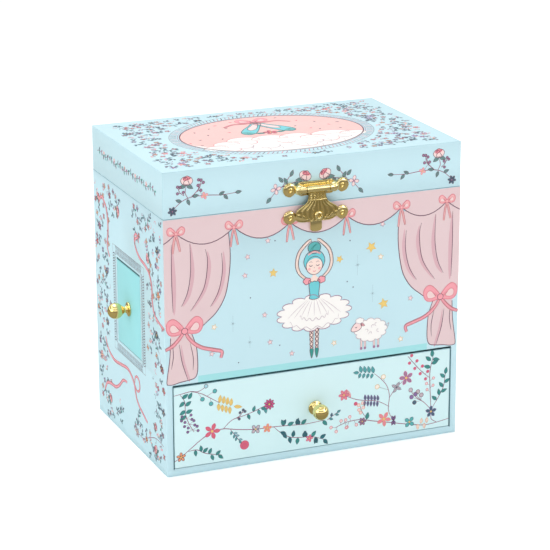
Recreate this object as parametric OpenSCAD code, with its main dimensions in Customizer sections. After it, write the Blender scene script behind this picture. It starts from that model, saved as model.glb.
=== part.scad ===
// Ballerina jewellery box: a paper-wrapped board case with a hinged lid, two drawers,
// a clasp, and a wound musical movement that turns a dancer on the stage inside.
// Millimetres. +Z is up, the front faces -Y, and the origin is the middle of the base.

/* [Box] */
// Outside width of the case and the lid
box_w = 170; // [145:1:210]
// Outside depth of the case and the lid
box_d = 113; // [95:1:140]
// Height of the case, from the table to the seam under the lid
case_h = 141; // [130:1:180]
// Height of the lid above the seam
lid_h = 25; // [21:1:40]
// Thickness of a wall: its board and the paper on it
wall_t = 4; // [3:0.1:6]
// Thickness of the printed paper
paper_t = 0.3; // [0.2:0.05:0.5]

/* [Drawers] */
// Height of the front drawer's opening
drawer_open_h = 46; // [35:1:60]
// Width of the side drawer's opening
side_open_w = 37.5; // [28:0.5:48]
// Thickness of a drawer's front board
front_board_t = 2.8; // [2:0.1:4]
// Thickness of a drawer's walls
drawer_wall_t = 2.5; // [1.5:0.1:4]
// Thickness of a drawer's bottom
drawer_floor_t = 2; // [1.5:0.1:4]
// Gap beside a drawer's front
side_gap = 0.4; // [0.2:0.05:1]
// Gap over a drawer's front
top_gap = 0.6; // [0.3:0.05:1.5]
// Gap under a drawer
slide_gap = 0.2; // [0.1:0.05:0.5]

/* [Shelves] */
// Thickness of the shelf over the front drawer and of the compartment's floor
shelf_t = 3; // [2:0.1:5]
// Thickness of the inner partitions
partition_t = 2.5; // [1.5:0.1:4]
// How far the partitions end below the seam
partition_drop = 7; // [2:0.5:15]
// Number of foam rolls that hold rings
roll_count = 3; // [2:1:5]
// Thickness of the felt on the drawers' floors
felt_t = 0.6; // [0.3:0.1:1.5]

/* [Mirror] */
// Thickness of the mirror in the lid
mirror_t = 1.5; // [1:0.1:3]
// Width of the card frame round the mirror
frame_w = 9; // [5:1:15]
// Thickness of the card frame and of the lid's card lining
card_t = 1.2; // [0.8:0.1:2]

/* [Hardware] */
// Radius of the ball of a knob
knob_r = 4.4; // [3:0.1:7]
// How far a knob stands out of its drawer
knob_out = 12; // [9:0.5:18]
// Distance between the nails of each clasp plate
clasp_nail_gap = 29.5; // [26:0.5:40]
// Height of the clasp's hinge above the seam
clasp_rise = 8.5; // [7:0.5:11]
// Depth of the clasp's lower plate below the seam
clasp_drop = 6.4; // [5.5:0.1:10]
// Length of a butt hinge
hinge_len = 20; // [14:1:30]
// Distance from the box's side to a hinge's middle
hinge_inset = 35; // [25:1:50]

/* [Hidden] */
$fn = 48;

// The case's own planes
board_t = wall_t - paper_t;
half_w = box_w / 2;
half_d = box_d / 2;
in_x = half_w - wall_t;
in_y = half_d - wall_t;
box_h = case_h + lid_h;
fit = 0.05;

// The musical movement is a bought unit of fixed size, and it sets the middle storey's height
move_h = 42;
move_rise = 3;
storey_h = move_h + 2 * move_rise;
shelf_z = wall_t + drawer_open_h;
storey_z = shelf_z + shelf_t;
floor_z = storey_z + storey_h;
stage_z = floor_z + shelf_t;
lining_z = stage_z + paper_t;
side_open_h = storey_h - 0.7;

// The movement's arbor stands this far from the right wall and the back wall
arbor_x = in_x - 45;
arbor_z = storey_z + 24;
stage_half_w = 45;
partition_x = arbor_x - stage_half_w - partition_t;
partition_h = case_h - partition_drop - lining_z;
bay_end_x = arbor_x - 31;
bay_wall_y = side_open_w / 2;

// Wheels: teeth, modules and planes
crown_teeth = 36;
pinion_teeth = 15;
crown_m = 0.8;
crown_r = crown_teeth * crown_m / 2;
pinion_r = pinion_teeth * crown_m / 2;
drive_teeth = 46;
dancer_teeth = 28;
drive_m = 0.75;
first_teeth = 48;
second_teeth = 12;
first_m = 0.6;
worm_teeth = 16;
worm_m = 0.8;
worm_wheel_r = worm_teeth * worm_m / 2;
worm_pitch_r = 2.4;
worm_pitch = PI * worm_m;
wheel_t = 1.6;
great_wheel_y = in_y - 17.5;
crown_pitch_y = great_wheel_y - 1;
cylinder_y = crown_pitch_y - pinion_r;
dancer_y = cylinder_y - (drive_teeth + dancer_teeth) * drive_m / 2;
drive_wheel_z = arbor_z + 16.2;
first_wheel_z = arbor_z - 17.6;
second_reach = (first_teeth + second_teeth) * first_m / 2;
second_turn = -30;
second_x = arbor_x + second_reach * cos(second_turn);
second_y = cylinder_y + second_reach * sin(second_turn);
worm_x = second_x + worm_wheel_r + worm_pitch_r;
worm_z = arbor_z - 12.5;
worm_len = 8;
plate_t = 3;
frame_low_z = storey_z + move_rise;
frame_high_z = frame_low_z + move_h;
arm_t = 2.8;
wire_x = arbor_x + 36;
wire_r = 0.6;
wire_y = in_y - wire_r - 0.1;
wire_low_z = worm_z + 5.7;
pin_r = 0.8;

// The lid's hinge line and the clasp
hinge_r = 1.6;
hinge_y = half_d + hinge_r + 0.1;
hinge_leaf_t = 0.8;
hinge_leaf_h = 10;
hinge_x = half_w - hinge_inset;
nail_r = 0.7;
nail_len = board_t * 0.8;
clasp_t = 0.9;
clasp_z = case_h + clasp_rise;
clasp_pin_y = -half_d - 3.1;
clasp_barrel_r = 1.9;
clasp_low_z = case_h - clasp_drop;
hasp_w = 24;
hasp_len = clasp_rise + clasp_drop + 3.1;

// The dancer fills the height between the stage and the closed lid's mirror
mirror_z = box_h - wall_t - mirror_t;
stand_z = lining_z + 2.3;
dancer_h = mirror_z - card_t - stand_z - 4.5;

// ---------------------------------------------------------------- helpers

module slab(low, high) {
    translate(low) cube(high - low);
}

module rod_y(x, z, r, low, high) {
    translate([x, low, z]) rotate([-90, 0, 0]) cylinder(h = high - low, r = r);
}

module rod_x(y, z, r, low, high) {
    translate([low, y, z]) rotate([0, 90, 0]) cylinder(h = high - low, r = r);
}

module rod_z(x, y, r, low, high) {
    translate([x, y, low]) cylinder(h = high - low, r = r);
}

module at_hinges() {
    for (side = [-1, 1]) translate([side * hinge_x, 0, 0]) children();
}

// Involute gears. Flank points run from the root to the tip of one tooth side.
function involute(a) = tan(a) * 180 / PI - a;
function flank(rb, half, r) = let (a = acos(min(1, rb / r)), t = half + involute(20) - involute(a)) [r, t];
function polar(p, turn) = [p[0] * cos(p[1] + turn), p[0] * sin(p[1] + turn)];
function tooth(rp, m, teeth, slack, tip) =
    let (rb = rp * cos(20),
         half = 90 / teeth - slack / 2 / rp * 180 / PI,
         rf = rp - 1.15 * m,
         ra = rp + tip * m,
         low = max(rb, rf + 0.02),
         rs = [low, rp, (rp + ra) / 2, ra],
         up = [for (r = rs) flank(rb, half, r)])
    concat([[rf, -up[0][1]]], [for (p = up) [p[0], -p[1]]],
           [for (i = [3:-1:0]) up[i]], [[rf, up[0][1]]]);

module gear(teeth, m, h, bore, slack = 0.16, tip = 0.85, turn = 0) {
    rp = teeth * m / 2;
    one = tooth(rp, m, teeth, slack, tip);
    linear_extrude(h) difference() {
        polygon([for (i = [0:teeth - 1]) for (p = one) polar(p, turn + i * 360 / teeth)]);
        if (bore > 0) circle(bore);
    }
}

// ---------------------------------------------------------------- case boards

module base_board() {
    color("#c9b79a")
        slab([-half_w + paper_t, -half_d + paper_t, 0], [half_w - paper_t, half_d - paper_t, wall_t]);
}

module side_board(side) {
    low = side < 0 ? -half_w + paper_t : in_x;
    slab([low, -half_d + paper_t, wall_t], [low + board_t, half_d - paper_t, case_h]);
}

module side_opening(out, in) {
    slab([-half_w - out, -side_open_w / 2, storey_z], [-in_x + in, side_open_w / 2, storey_z + side_open_h]);
}

module left_side() {
    color("#c9b79a") difference() {
        side_board(-1);
        side_opening(1, 1);
    }
}

module right_side() {
    color("#c9b79a") side_board(1);
}

module back_board() {
    color("#c9b79a") difference() {
        slab([-in_x, in_y, wall_t], [in_x, half_d - paper_t, case_h]);
        rod_y(arbor_x, arbor_z, 4.5, in_y - 1, half_d + 1);
        frame_screw_shanks(fit);
        at_hinges() leaf_nail_shanks(-1, fit);
    }
}

module front_panel() {
    color("#c9b79a") difference() {
        slab([-in_x, -half_d + paper_t, shelf_z], [in_x, -in_y, case_h]);
        clasp_nail_shanks(clasp_low_z, fit);
    }
}

module case_wrap() {
    color("#bfe3ea") difference() {
        slab([-half_w, -half_d, 0], [half_w, half_d, case_h]);
        slab([-half_w + paper_t, -half_d + paper_t, -1], [half_w - paper_t, half_d - paper_t, case_h + 1]);
        slab([-in_x, -half_d - 1, wall_t], [in_x, 0, shelf_z]);
        side_opening(1, 1);
        rod_y(arbor_x, arbor_z, 4.5, 0, half_d + 1);
        frame_screw_shanks(fit);
        at_hinges() leaf_nail_shanks(-1, fit);
        clasp_nail_shanks(clasp_low_z, fit);
    }
}

module drawer_shelf() {
    color("#a8e0e4") slab([-in_x, -in_y, shelf_z], [in_x, in_y, storey_z]);
}

module side_drawer_bay() {
    color("#a8e0e4") difference() {
        slab([-in_x, -bay_wall_y - partition_t, storey_z], [bay_end_x, bay_wall_y + partition_t, floor_z]);
        slab([-in_x - 1, -bay_wall_y, storey_z - 1], [bay_end_x - partition_t, bay_wall_y, floor_z + 1]);
    }
}

module compartment_floor() {
    color("#f3c6cb") difference() {
        slab([-in_x, -in_y, floor_z], [in_x, in_y, stage_z]);
        rod_z(arbor_x, dancer_y, 3.2, floor_z - 1, stage_z + 1);
        rod_z(wire_x, wire_y, wire_r + 0.3, floor_z - 1, stage_z + 1);
    }
}

module compartment_lining() {
    wall = paper_t;
    color("#f7d3d6") difference() {
        slab([-in_x, -in_y, stage_z], [in_x, in_y, case_h - 0.5]);
        slab([-in_x + wall, -in_y + wall, lining_z], [in_x - wall, in_y - wall, case_h]);
        rod_z(arbor_x, dancer_y, 3.2, floor_z, lining_z + 1);
        slab([wire_x - 1.2, wire_y - 1, floor_z], [wire_x + 1.2, in_y + 1, case_h + 1]);
    }
}

module compartment_partition() {
    low = -in_x + paper_t;
    color("#f3c6cb") {
        slab([partition_x, -in_y + paper_t, lining_z],
            [partition_x + partition_t, in_y - paper_t, lining_z + partition_h]);
        slab([low, 0, lining_z], [partition_x, partition_t, lining_z + partition_h * 0.8]);
    }
}

roll_room = in_y - paper_t - partition_t - 0.6;
roll_pitch = roll_room / roll_count;
module ring_rolls() {
    low = -in_x + paper_t + 0.4;
    color("#f6e3e2") for (i = [0:roll_count - 1])
        rod_x(partition_t + 0.3 + roll_pitch * (i + 0.5), lining_z + 0.2 + roll_pitch / 2,
              roll_pitch / 2 - 0.15, low, partition_x - 0.4);
}

module stage_disc() {
    color("#fbf3ec") difference() {
        rod_z(arbor_x, dancer_y, 20, lining_z, lining_z + 1.5);
        rod_z(arbor_x, dancer_y, 3.2, lining_z - 1, lining_z + 3);
    }
}

// ---------------------------------------------------------------- lid

module lid_top_board() {
    color("#c9b79a") slab([-half_w + paper_t, -half_d + paper_t, box_h - wall_t],
                          [half_w - paper_t, half_d - paper_t, box_h - paper_t]);
}

module lid_rim() {
    color("#c9b79a") difference() {
        slab([-half_w + paper_t, -half_d + paper_t, case_h + 0.1],
             [half_w - paper_t, half_d - paper_t, box_h - wall_t]);
        slab([-in_x, -in_y, case_h - 1], [in_x, in_y, box_h]);
        at_hinges() leaf_nail_shanks(1, fit);
        clasp_nail_shanks(clasp_z, fit);
    }
}

module lid_wrap() {
    color("#bfe3ea") difference() {
        slab([-half_w, -half_d, case_h + 0.1], [half_w, half_d, box_h]);
        slab([-half_w + paper_t, -half_d + paper_t, case_h - 1],
             [half_w - paper_t, half_d - paper_t, box_h - paper_t]);
        at_hinges() leaf_nail_shanks(1, fit);
        clasp_nail_shanks(clasp_z, fit);
    }
}

module lid_liner() {
    color("#f7d3d6") difference() {
        slab([-in_x, -in_y, case_h + 0.1], [in_x, in_y, box_h - wall_t]);
        slab([-in_x + card_t, -in_y + card_t, case_h - 1], [in_x - card_t, in_y - card_t, box_h]);
    }
}

mirror_x = in_x - card_t - frame_w + 3;
mirror_y = in_y - card_t - frame_w + 3;
module mirror() {
    color("#dfe8ea") slab([-mirror_x, -mirror_y, mirror_z], [mirror_x, mirror_y, box_h - wall_t]);
}

module mirror_frame() {
    color("#f3c6cb") difference() {
        slab([-in_x + card_t, -in_y + card_t, mirror_z - card_t],
            [in_x - card_t, in_y - card_t, box_h - wall_t]);
        slab([-mirror_x, -mirror_y, mirror_z], [mirror_x, mirror_y, box_h]);
        slab([-mirror_x + 3, -mirror_y + 3, mirror_z - 5], [mirror_x - 3, mirror_y - 3, box_h]);
    }
}

// ---------------------------------------------------------------- clasp

module clasp_nail_shanks(z, grow) {
    for (side = [-1, 1])
        rod_y(side * clasp_nail_gap / 2, z, nail_r + grow, -half_d, -half_d + nail_len + grow);
}

module clasp_nails(z) {
    color("#d9b65a") {
        clasp_nail_shanks(z, 0);
        for (side = [-1, 1]) {
            rod_y(side * clasp_nail_gap / 2, z, nail_r, -half_d - clasp_t, -half_d);
            translate([side * clasp_nail_gap / 2, -half_d - clasp_t, z]) rotate([90, 0, 0])
                cylinder(h = 0.5, r1 = 1.5, r2 = 0.9);
        }
    }
}

// A waisted plate with a round ear at each end
module clasp_plate(z, body_w, body_h) {
    translate([0, -half_d, z]) rotate([90, 0, 0]) linear_extrude(clasp_t) difference() {
        union() {
            square([body_w, body_h], center = true);
            square([clasp_nail_gap, 4], center = true);
            for (side = [-1, 1]) {
                translate([side * clasp_nail_gap / 2, 0]) circle(3.9);
                translate([side * body_w / 2, 0]) circle(body_h / 2);
            }
        }
        for (side = [-1, 1]) translate([side * clasp_nail_gap / 2, 0]) circle(nail_r + fit);
    }
}

barrel_in = 6.6;
barrel_out = 10;
module clasp_lid_plate() {
    color("#d9b65a") difference() {
        union() {
            clasp_plate(clasp_z, 17, 7.4);
            for (side = [-1, 1]) {
                low = side < 0 ? -barrel_out : barrel_in;
                rod_x(clasp_pin_y, clasp_z, clasp_barrel_r, low, low + barrel_out - barrel_in);
                slab([low, clasp_pin_y, clasp_z - 1.9], [low + barrel_out - barrel_in,
                    -half_d, clasp_z + 1.9]);
            }
        }
        rod_x(clasp_pin_y, clasp_z, pin_r + fit, -barrel_out - 1, barrel_out + 1);
    }
}

module clasp_pin() {
    color("#c9a24a") rod_x(clasp_pin_y, clasp_z, pin_r, -barrel_out - 0.4, barrel_out + 0.4);
}

module clasp_lid_nails() {
    clasp_nails(clasp_z);
}

// A scallop shell that hangs from the pin over the catch
hasp_y = -half_d - 2.7;
module clasp_hasp() {
    lobes = 7;
    color("#cfae58") difference() {
        union() {
            rod_x(clasp_pin_y, clasp_z, clasp_barrel_r - 0.1, -barrel_in + 0.2, barrel_in - 0.2);
            translate([0, hasp_y + 0.5, clasp_z]) rotate([90, 0, 0]) linear_extrude(1.2) {
                polygon([[-barrel_in + 0.4, 0], [barrel_in - 0.4, 0], [5.4, -3.5],
                    [hasp_w / 2 - 1.8, -hasp_len + 6.5],
                         [hasp_w / 2 - 1.5, -hasp_len + 4], [4, -hasp_len + 1.5], [-4, -hasp_len + 1.5],
                         [-hasp_w / 2 + 1.5, -hasp_len + 4], [-hasp_w / 2 + 1.8, -hasp_len + 6.5],
                             [-5.4, -3.5]]);
                for (i = [0:lobes - 1]) {
                    a = (i - (lobes - 1) / 2) / (lobes - 1) * 2;
                    translate([a * (hasp_w / 2 - 1.9), -hasp_len + 2.1 + 2.6 * a * a]) circle(1.9);
                }
            }
            translate([0, hasp_y, clasp_z - hasp_len + 3]) rotate([90, 0, 0])
                cylinder(h = 1.6, r1 = 2.5, r2 = 1.9);
        }
        rod_x(clasp_pin_y, clasp_z, pin_r + fit, -barrel_out - 1, barrel_out + 1);
    }
}

// The lower plate, with the sprung tongue that the shell snaps over
module clasp_case_plate() {
    color("#d9b65a") {
        clasp_plate(clasp_low_z, 14, 7);
        slab([-3.2, -half_d - clasp_t, clasp_low_z - 8.6], [3.2, -half_d, clasp_low_z]);
        rod_x(-half_d - clasp_t, clasp_low_z - 8.2, 0.8, -3.2, 3.2);
        translate([0, -half_d - clasp_t, clasp_low_z - 1.5]) rotate([90, 0, 0])
            cylinder(h = 1, r1 = 1.6, r2 = 1.1);
    }
}

module clasp_case_nails() {
    clasp_nails(clasp_low_z);
}

// ---------------------------------------------------------------- lid hinges

leaf_nail_x = hinge_len / 2 - 3.5;
leaf_nail_z = 6.5;
module leaf_nail_shanks(way, grow) {
    for (side = [-1, 1]) rod_y(side * leaf_nail_x, case_h + way * leaf_nail_z, nail_r + grow,
        half_d - nail_len - grow, half_d + hinge_leaf_t);
}

module leaf_nails(way) {
    color("#d9b65a") at_hinges() {
        leaf_nail_shanks(way, 0);
        for (side = [-1, 1]) rod_y(side * leaf_nail_x, case_h + way * leaf_nail_z, 1.3,
            half_d + hinge_leaf_t, half_d + hinge_leaf_t + 0.5);
    }
}

// One leaf, with its share of the knuckles: the middle one or the outer two
module hinge_leaf(way) {
    third = hinge_len / 3;
    mine = way > 0 ? [0] : [-1, 1];
    others = way > 0 ? [-1, 1] : [0];
    color("#d9b65a") difference() {
        union() {
            slab([-hinge_len / 2, half_d, way > 0 ? case_h : case_h - hinge_leaf_h],
                 [hinge_len / 2, half_d + hinge_leaf_t, way > 0 ? case_h + hinge_leaf_h : case_h]);
            for (i = mine) rod_x(hinge_y, case_h, hinge_r, (i - 0.5) * third, (i + 0.5) * third);
        }
        for (i = others)
            rod_x(hinge_y, case_h, hinge_r + 0.15, (i - 0.5) * third - 0.1, (i + 0.5) * third + 0.1);
        for (i = mine) slab([(i - 0.5) * third - 0.1, half_d - 1, way > 0 ? case_h - 3 : case_h],
                            [(i + 0.5) * third + 0.1, half_d + 0.1, way > 0 ? case_h : case_h + 3]);
        rod_x(hinge_y, case_h, pin_r + fit, -hinge_len, hinge_len);
        leaf_nail_shanks(way, fit);
    }
}

module hinge_lid_leaves() {
    at_hinges() hinge_leaf(1);
}

module hinge_case_leaves() {
    at_hinges() hinge_leaf(-1);
}

module hinge_pins() {
    color("#c9a24a") at_hinges() rod_x(hinge_y, case_h, pin_r, -hinge_len / 2 - 0.4, hinge_len / 2 + 0.4);
}

module hinge_lid_nails() {
    leaf_nails(1);
}

module hinge_case_nails() {
    leaf_nails(-1);
}

// ---------------------------------------------------------------- knobs

// A ball on a waisted neck and a round foot, standing along +Z from 0
module knob_shape() {
    neck_z = knob_out - 2 * knob_r;
    color("#d9b24e") difference() {
        union() {
            cylinder(h = 0.8, r = knob_r * 0.9);
            translate([0, 0, 0.8]) cylinder(h = 0.9, r1 = knob_r * 0.9, r2 = knob_r * 0.5);
            cylinder(h = neck_z + 1.5, r = knob_r * 0.5);
            translate([0, 0, knob_out - knob_r]) sphere(knob_r);
        }
        translate([0, 0, -1]) cylinder(h = 6, r = 1);
    }
}

module knob_screw_shape(board) {
    color("#b9b9b4") {
        translate([0, 0, -board]) cylinder(h = board + 4, r = 1);
        translate([0, 0, -board - 1.2]) cylinder(h = 1.2, r1 = 1.7, r2 = 2.2);
    }
}

drawer_front_z = wall_t + slide_gap;
drawer_front_h = drawer_open_h - slide_gap - top_gap;
module at_drawer_knob() {
    translate([0, -half_d, drawer_front_z + drawer_front_h / 2]) rotate([90, 0, 0]) children();
}

side_front_z = storey_z + slide_gap;
side_front_h = side_open_h - slide_gap - top_gap;
module at_side_knob() {
    translate([-half_w, 0, side_front_z + side_front_h / 2]) rotate([0, -90, 0]) children();
}

// ---------------------------------------------------------------- front drawer

drawer_x = in_x - side_gap;
drawer_tray_y = -half_d + front_board_t;
drawer_back_y = in_y - 1;
drawer_wall_top = drawer_front_z + drawer_front_h - 2;
module drawer_front() {
    color("#c5e9ed") difference() {
        slab([-drawer_x, -half_d, drawer_front_z],
            [drawer_x, drawer_tray_y, drawer_front_z + drawer_front_h]);
        at_drawer_knob() translate([0, 0, -front_board_t - 1]) cylinder(h = front_board_t + 2, r = 1 + fit);
    }
}

module drawer_side_walls() {
    color("#a8e0e4") for (side = [0, 1]) {
        low = side == 0 ? -drawer_x : drawer_x - drawer_wall_t;
        slab([low, drawer_tray_y, drawer_front_z], [low + drawer_wall_t, drawer_back_y, drawer_wall_top]);
    }
}

module drawer_back_wall() {
    color("#a8e0e4") slab([-drawer_x + drawer_wall_t, drawer_back_y - drawer_wall_t, drawer_front_z],
                          [drawer_x - drawer_wall_t, drawer_back_y, drawer_wall_top]);
}

module drawer_bottom() {
    color("#a8e0e4") slab([-drawer_x + drawer_wall_t, drawer_tray_y, drawer_front_z],
                          [drawer_x - drawer_wall_t, drawer_back_y - drawer_wall_t, drawer_front_z + drawer_floor_t]);
}

module drawer_felt() {
    z = drawer_front_z + drawer_floor_t;
    color("#f2b9c0") slab([-drawer_x + drawer_wall_t + 0.3, drawer_tray_y + 0.3, z],
                          [drawer_x - drawer_wall_t - 0.3, drawer_back_y - drawer_wall_t - 0.3, z + felt_t]);
}

module drawer_knob() {
    at_drawer_knob() knob_shape();
}

module drawer_knob_screw() {
    at_drawer_knob() knob_screw_shape(front_board_t);
}

// ---------------------------------------------------------------- side drawer

side_y = side_open_w / 2 - side_gap;
side_tray_x = -half_w + front_board_t;
side_end_x = bay_end_x - partition_t - 1;
side_wall_top = side_front_z + side_front_h - 2;
module side_drawer_front() {
    color("#a6e3e8") difference() {
        slab([-half_w, -side_y, side_front_z], [side_tray_x, side_y, side_front_z + side_front_h]);
        at_side_knob() translate([0, 0, -front_board_t - 1]) cylinder(h = front_board_t + 2, r = 1 + fit);
    }
}

module side_drawer_tray() {
    t = drawer_wall_t * 0.8;
    color("#a8e0e4") difference() {
        slab([side_tray_x, -side_y, side_front_z], [side_end_x, side_y, side_wall_top]);
        slab([side_tray_x - 1, -side_y + t, side_front_z + drawer_floor_t],
            [side_end_x - t, side_y - t, side_wall_top + 1]);
    }
}

module side_drawer_felt() {
    t = drawer_wall_t * 0.8 + 0.3;
    z = side_front_z + drawer_floor_t;
    color("#f2b9c0") slab([side_tray_x + 0.3, -side_y + t, z], [side_end_x - t, side_y - t, z + felt_t]);
}

module side_drawer_knob() {
    at_side_knob() knob_shape();
}

module side_drawer_knob_screw() {
    at_side_knob() knob_screw_shape(front_board_t);
}

// ---------------------------------------------------------------- musical movement

frame_x0 = arbor_x - 14;
frame_x1 = arbor_x + 32;
screw_points = [[frame_x0 + 4, frame_low_z + 4.5], [frame_x0 + 4, frame_high_z - 4.5],
    [frame_x1 - 3.5, arbor_z + 14]];

module frame_screw_shanks(grow) {
    for (p = screw_points) rod_y(p[0], p[1], 1.3 + grow, in_y - plate_t, half_d + grow);
}

// Cast frame: a plate against the back board, two arms that carry the arbors, and the comb's pedestal
module movement_frame() {
    color("#b7bbbd") difference() {
        union() {
            slab([frame_x0, in_y - plate_t, frame_low_z], [frame_x1, in_y, frame_high_z]);
            slab([frame_x0 + 2, second_y - 14.8, frame_low_z],
                [frame_x1, in_y - plate_t, frame_low_z + plate_t]);
            slab([frame_x0 + 2, in_y - 17.5, frame_high_z - arm_t],
                [frame_x1 - 4, in_y - plate_t, frame_high_z]);
            slab([arbor_x - 6, dancer_y - 6, frame_high_z - arm_t], [arbor_x + 6, in_y - 17, frame_high_z]);
            slab([arbor_x + 18, cylinder_y + 1.2, arbor_z - 8], [arbor_x + 28, in_y - plate_t, arbor_z + 10]);
        }
        rod_y(arbor_x, arbor_z, 2 + fit, in_y - plate_t - 1, in_y + 1);
        rod_z(arbor_x, cylinder_y, 1 + fit, frame_low_z - 1, frame_high_z + 1);
        rod_z(arbor_x, dancer_y, 1.5 + fit, frame_high_z - arm_t - 1, frame_high_z + 1);
        rod_z(second_x, second_y, 0.8 + fit, frame_low_z - 1, frame_low_z + plate_t + 1);
        frame_screw_shanks(0);
        comb_screw_shanks(0);
    }
}

module movement_screws() {
    color("#c9c9c4") {
        frame_screw_shanks(0);
        for (p = screw_points) rod_y(p[0], p[1], 2.6, half_d, half_d + 1.2);
        comb_screw_shanks(0);
        for (z = comb_screw_z) rod_y(comb_screw_x, z, 2.1, cylinder_y - 1.6, cylinder_y - 0.5);
    }
}

module key_escutcheon() {
    color("#d9b65a") difference() {
        union() {
            rod_y(arbor_x, arbor_z, 6.5, half_d, half_d + 0.8);
            rod_y(arbor_x, arbor_z, 4.4, half_d - board_t, half_d);
        }
        rod_y(arbor_x, arbor_z, 2.4, half_d - wall_t - 1, half_d + 2);
    }
}

housing_y = great_wheel_y + 3;
module spring_housing() {
    color("#c8ccce") difference() {
        rod_y(arbor_x, arbor_z, 13, housing_y, in_y - plate_t);
        rod_y(arbor_x, arbor_z, 12.2, housing_y + 0.8, in_y);
        rod_y(arbor_x, arbor_z, 2 + fit, housing_y - 1, in_y);
    }
}

// A spiral of spring strip between the arbor and the housing
module mainspring() {
    turns = 6;
    steps = 20;
    strip = 0.4;
    function spiral(i, add) = let (a = i * 360 / steps,
        r = 3 + 8.6 * i / (turns * steps) + add) [r * cos(a), r * sin(a)];
    color("#8d949a") translate([arbor_x, housing_y + 1.4, arbor_z]) rotate([-90, 0, 0]) linear_extrude(8)
        polygon(concat([for (i = [0:turns * steps]) spiral(i, strip / 2)],
                       [for (i = [turns * steps:-1:0]) spiral(i, -strip / 2)]));
}

module winding_arbor() {
    color("#aab0b4") {
        rod_y(arbor_x, arbor_z, 2, great_wheel_y, half_d + 10);
        rod_y(arbor_x, arbor_z, 2.6, great_wheel_y + 2, housing_y - 0.2);
    }
}

// Crown wheel: its teeth point forward and drive the cylinder's pinion through a right angle
module great_wheel() {
    pitch = PI * crown_m;
    half = pitch / 4 - 0.16;
    lean = tan(20);
    color("#d4b25c") difference() {
        union() {
            rod_y(arbor_x, arbor_z, crown_r + 1.2, great_wheel_y, great_wheel_y + 2);
            for (i = [0:crown_teeth - 1])
                translate([arbor_x, great_wheel_y, arbor_z]) rotate([0, i * 360 / crown_teeth, 0])
                    translate([0, 0, crown_r - 1.1]) linear_extrude(2.2)
                        polygon([[-half - lean, 0.2], [half + lean, 0.2], [half + lean, 0],
                                 [half - lean * 0.65, -1.65], [-half + lean * 0.65, -1.65],
                                     [-half - lean, 0]]);
        }
        rod_y(arbor_x, arbor_z, 2, great_wheel_y - 3, great_wheel_y + 3);
    }
}

// Two round wings on a hub that screws onto the arbor's end
module winding_key() {
    hub_y = half_d + 1.6;
    color("#d9b65a") difference() {
        union() {
            rod_y(arbor_x, arbor_z, 3.6, hub_y, half_d + 11);
            translate([arbor_x, half_d + 13, arbor_z - 1.1]) linear_extrude(2.2) difference() {
                union() {
                    for (side = [-1, 1]) translate([side * 7, 1]) circle(6);
                    translate([-5, -4.5]) square([10, 8]);
                }
                for (side = [-1, 1]) translate([side * 7.6, 1.4]) circle(2.6);
            }
        }
        rod_y(arbor_x, arbor_z, 2, hub_y - 1, half_d + 10);
    }
}

cylinder_low_z = arbor_z - 9;
cylinder_high_z = arbor_z + 11;
module cylinder_arbor() {
    pinion_phase = 90 + 180 / pinion_teeth;
    color("#aab0b4") {
        rod_z(arbor_x, cylinder_y, 1, frame_low_z + 0.3, frame_high_z + 0.5);
        translate([arbor_x, cylinder_y, arbor_z + crown_r - 1.3])
            gear(pinion_teeth, crown_m, 2.6, 0, slack = 0.36, tip = 0.8, turn = pinion_phase);
        translate([arbor_x, cylinder_y, drive_wheel_z]) gear(drive_teeth, drive_m, wheel_t, 0, turn = -90);
        translate([arbor_x, cylinder_y, first_wheel_z])
            gear(first_teeth, first_m, wheel_t - 0.2, 0, turn = second_turn);
    }
}

// Brass drum with a pin for each note
module tune_cylinder() {
    notes = 18;
    color("#d4b25c") difference() {
        union() {
            rod_z(arbor_x, cylinder_y, 6.4, cylinder_low_z, cylinder_high_z);
            for (i = [0:notes - 1]) for (k = [0:2])
                translate([arbor_x, cylinder_y, cylinder_low_z + 1.5 + i])
                    rotate([0, 0, (i * 97 + k * 131) % 360])
                    translate([6, -0.2, -0.2]) cube([0.75, 0.4, 0.4]);
        }
        rod_z(arbor_x, cylinder_y, 1, cylinder_low_z - 1, cylinder_high_z + 1);
    }
}

comb_screw_x = arbor_x + 21;
comb_screw_z = [arbor_z - 4.5, arbor_z + 6.5];
module comb_screw_shanks(grow) {
    for (z = comb_screw_z) rod_y(comb_screw_x, z, 1 + grow, cylinder_y - 0.5, cylinder_y + 6);
}

// Steel comb: a thick root and a tooth for each note, with its tips beside the drum
module tune_comb() {
    notes = 18;
    root_x = arbor_x + 17;
    color("#9aa1a6") difference() {
        union() {
            slab([root_x, cylinder_y - 0.5, arbor_z - 8], [arbor_x + 27, cylinder_y + 1.2, arbor_z + 10]);
            for (i = [0:notes - 1])
                slab([arbor_x + 7, cylinder_y - 0.3, cylinder_low_z + 1.15 + i],
                    [root_x, cylinder_y + 0.3, cylinder_low_z + 1.85 + i]);
        }
        comb_screw_shanks(0);
    }
}

// Pinion and worm wheel on one arbor
module governor_arbor() {
    color("#e8e4d8") {
        rod_z(second_x, second_y, 0.8, frame_low_z + 0.3, worm_z + 4.1);
        translate([second_x, second_y, first_wheel_z - 0.1])
            gear(second_teeth, first_m, wheel_t, 0, slack = 0.2, tip = 0.7,
                turn = second_turn + 180 + 180 / second_teeth);
        translate([second_x, second_y, worm_z - 0.9])
            gear(worm_teeth, worm_m, 1.8, 0, slack = 0.36, tip = 0.7);
    }
}

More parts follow.
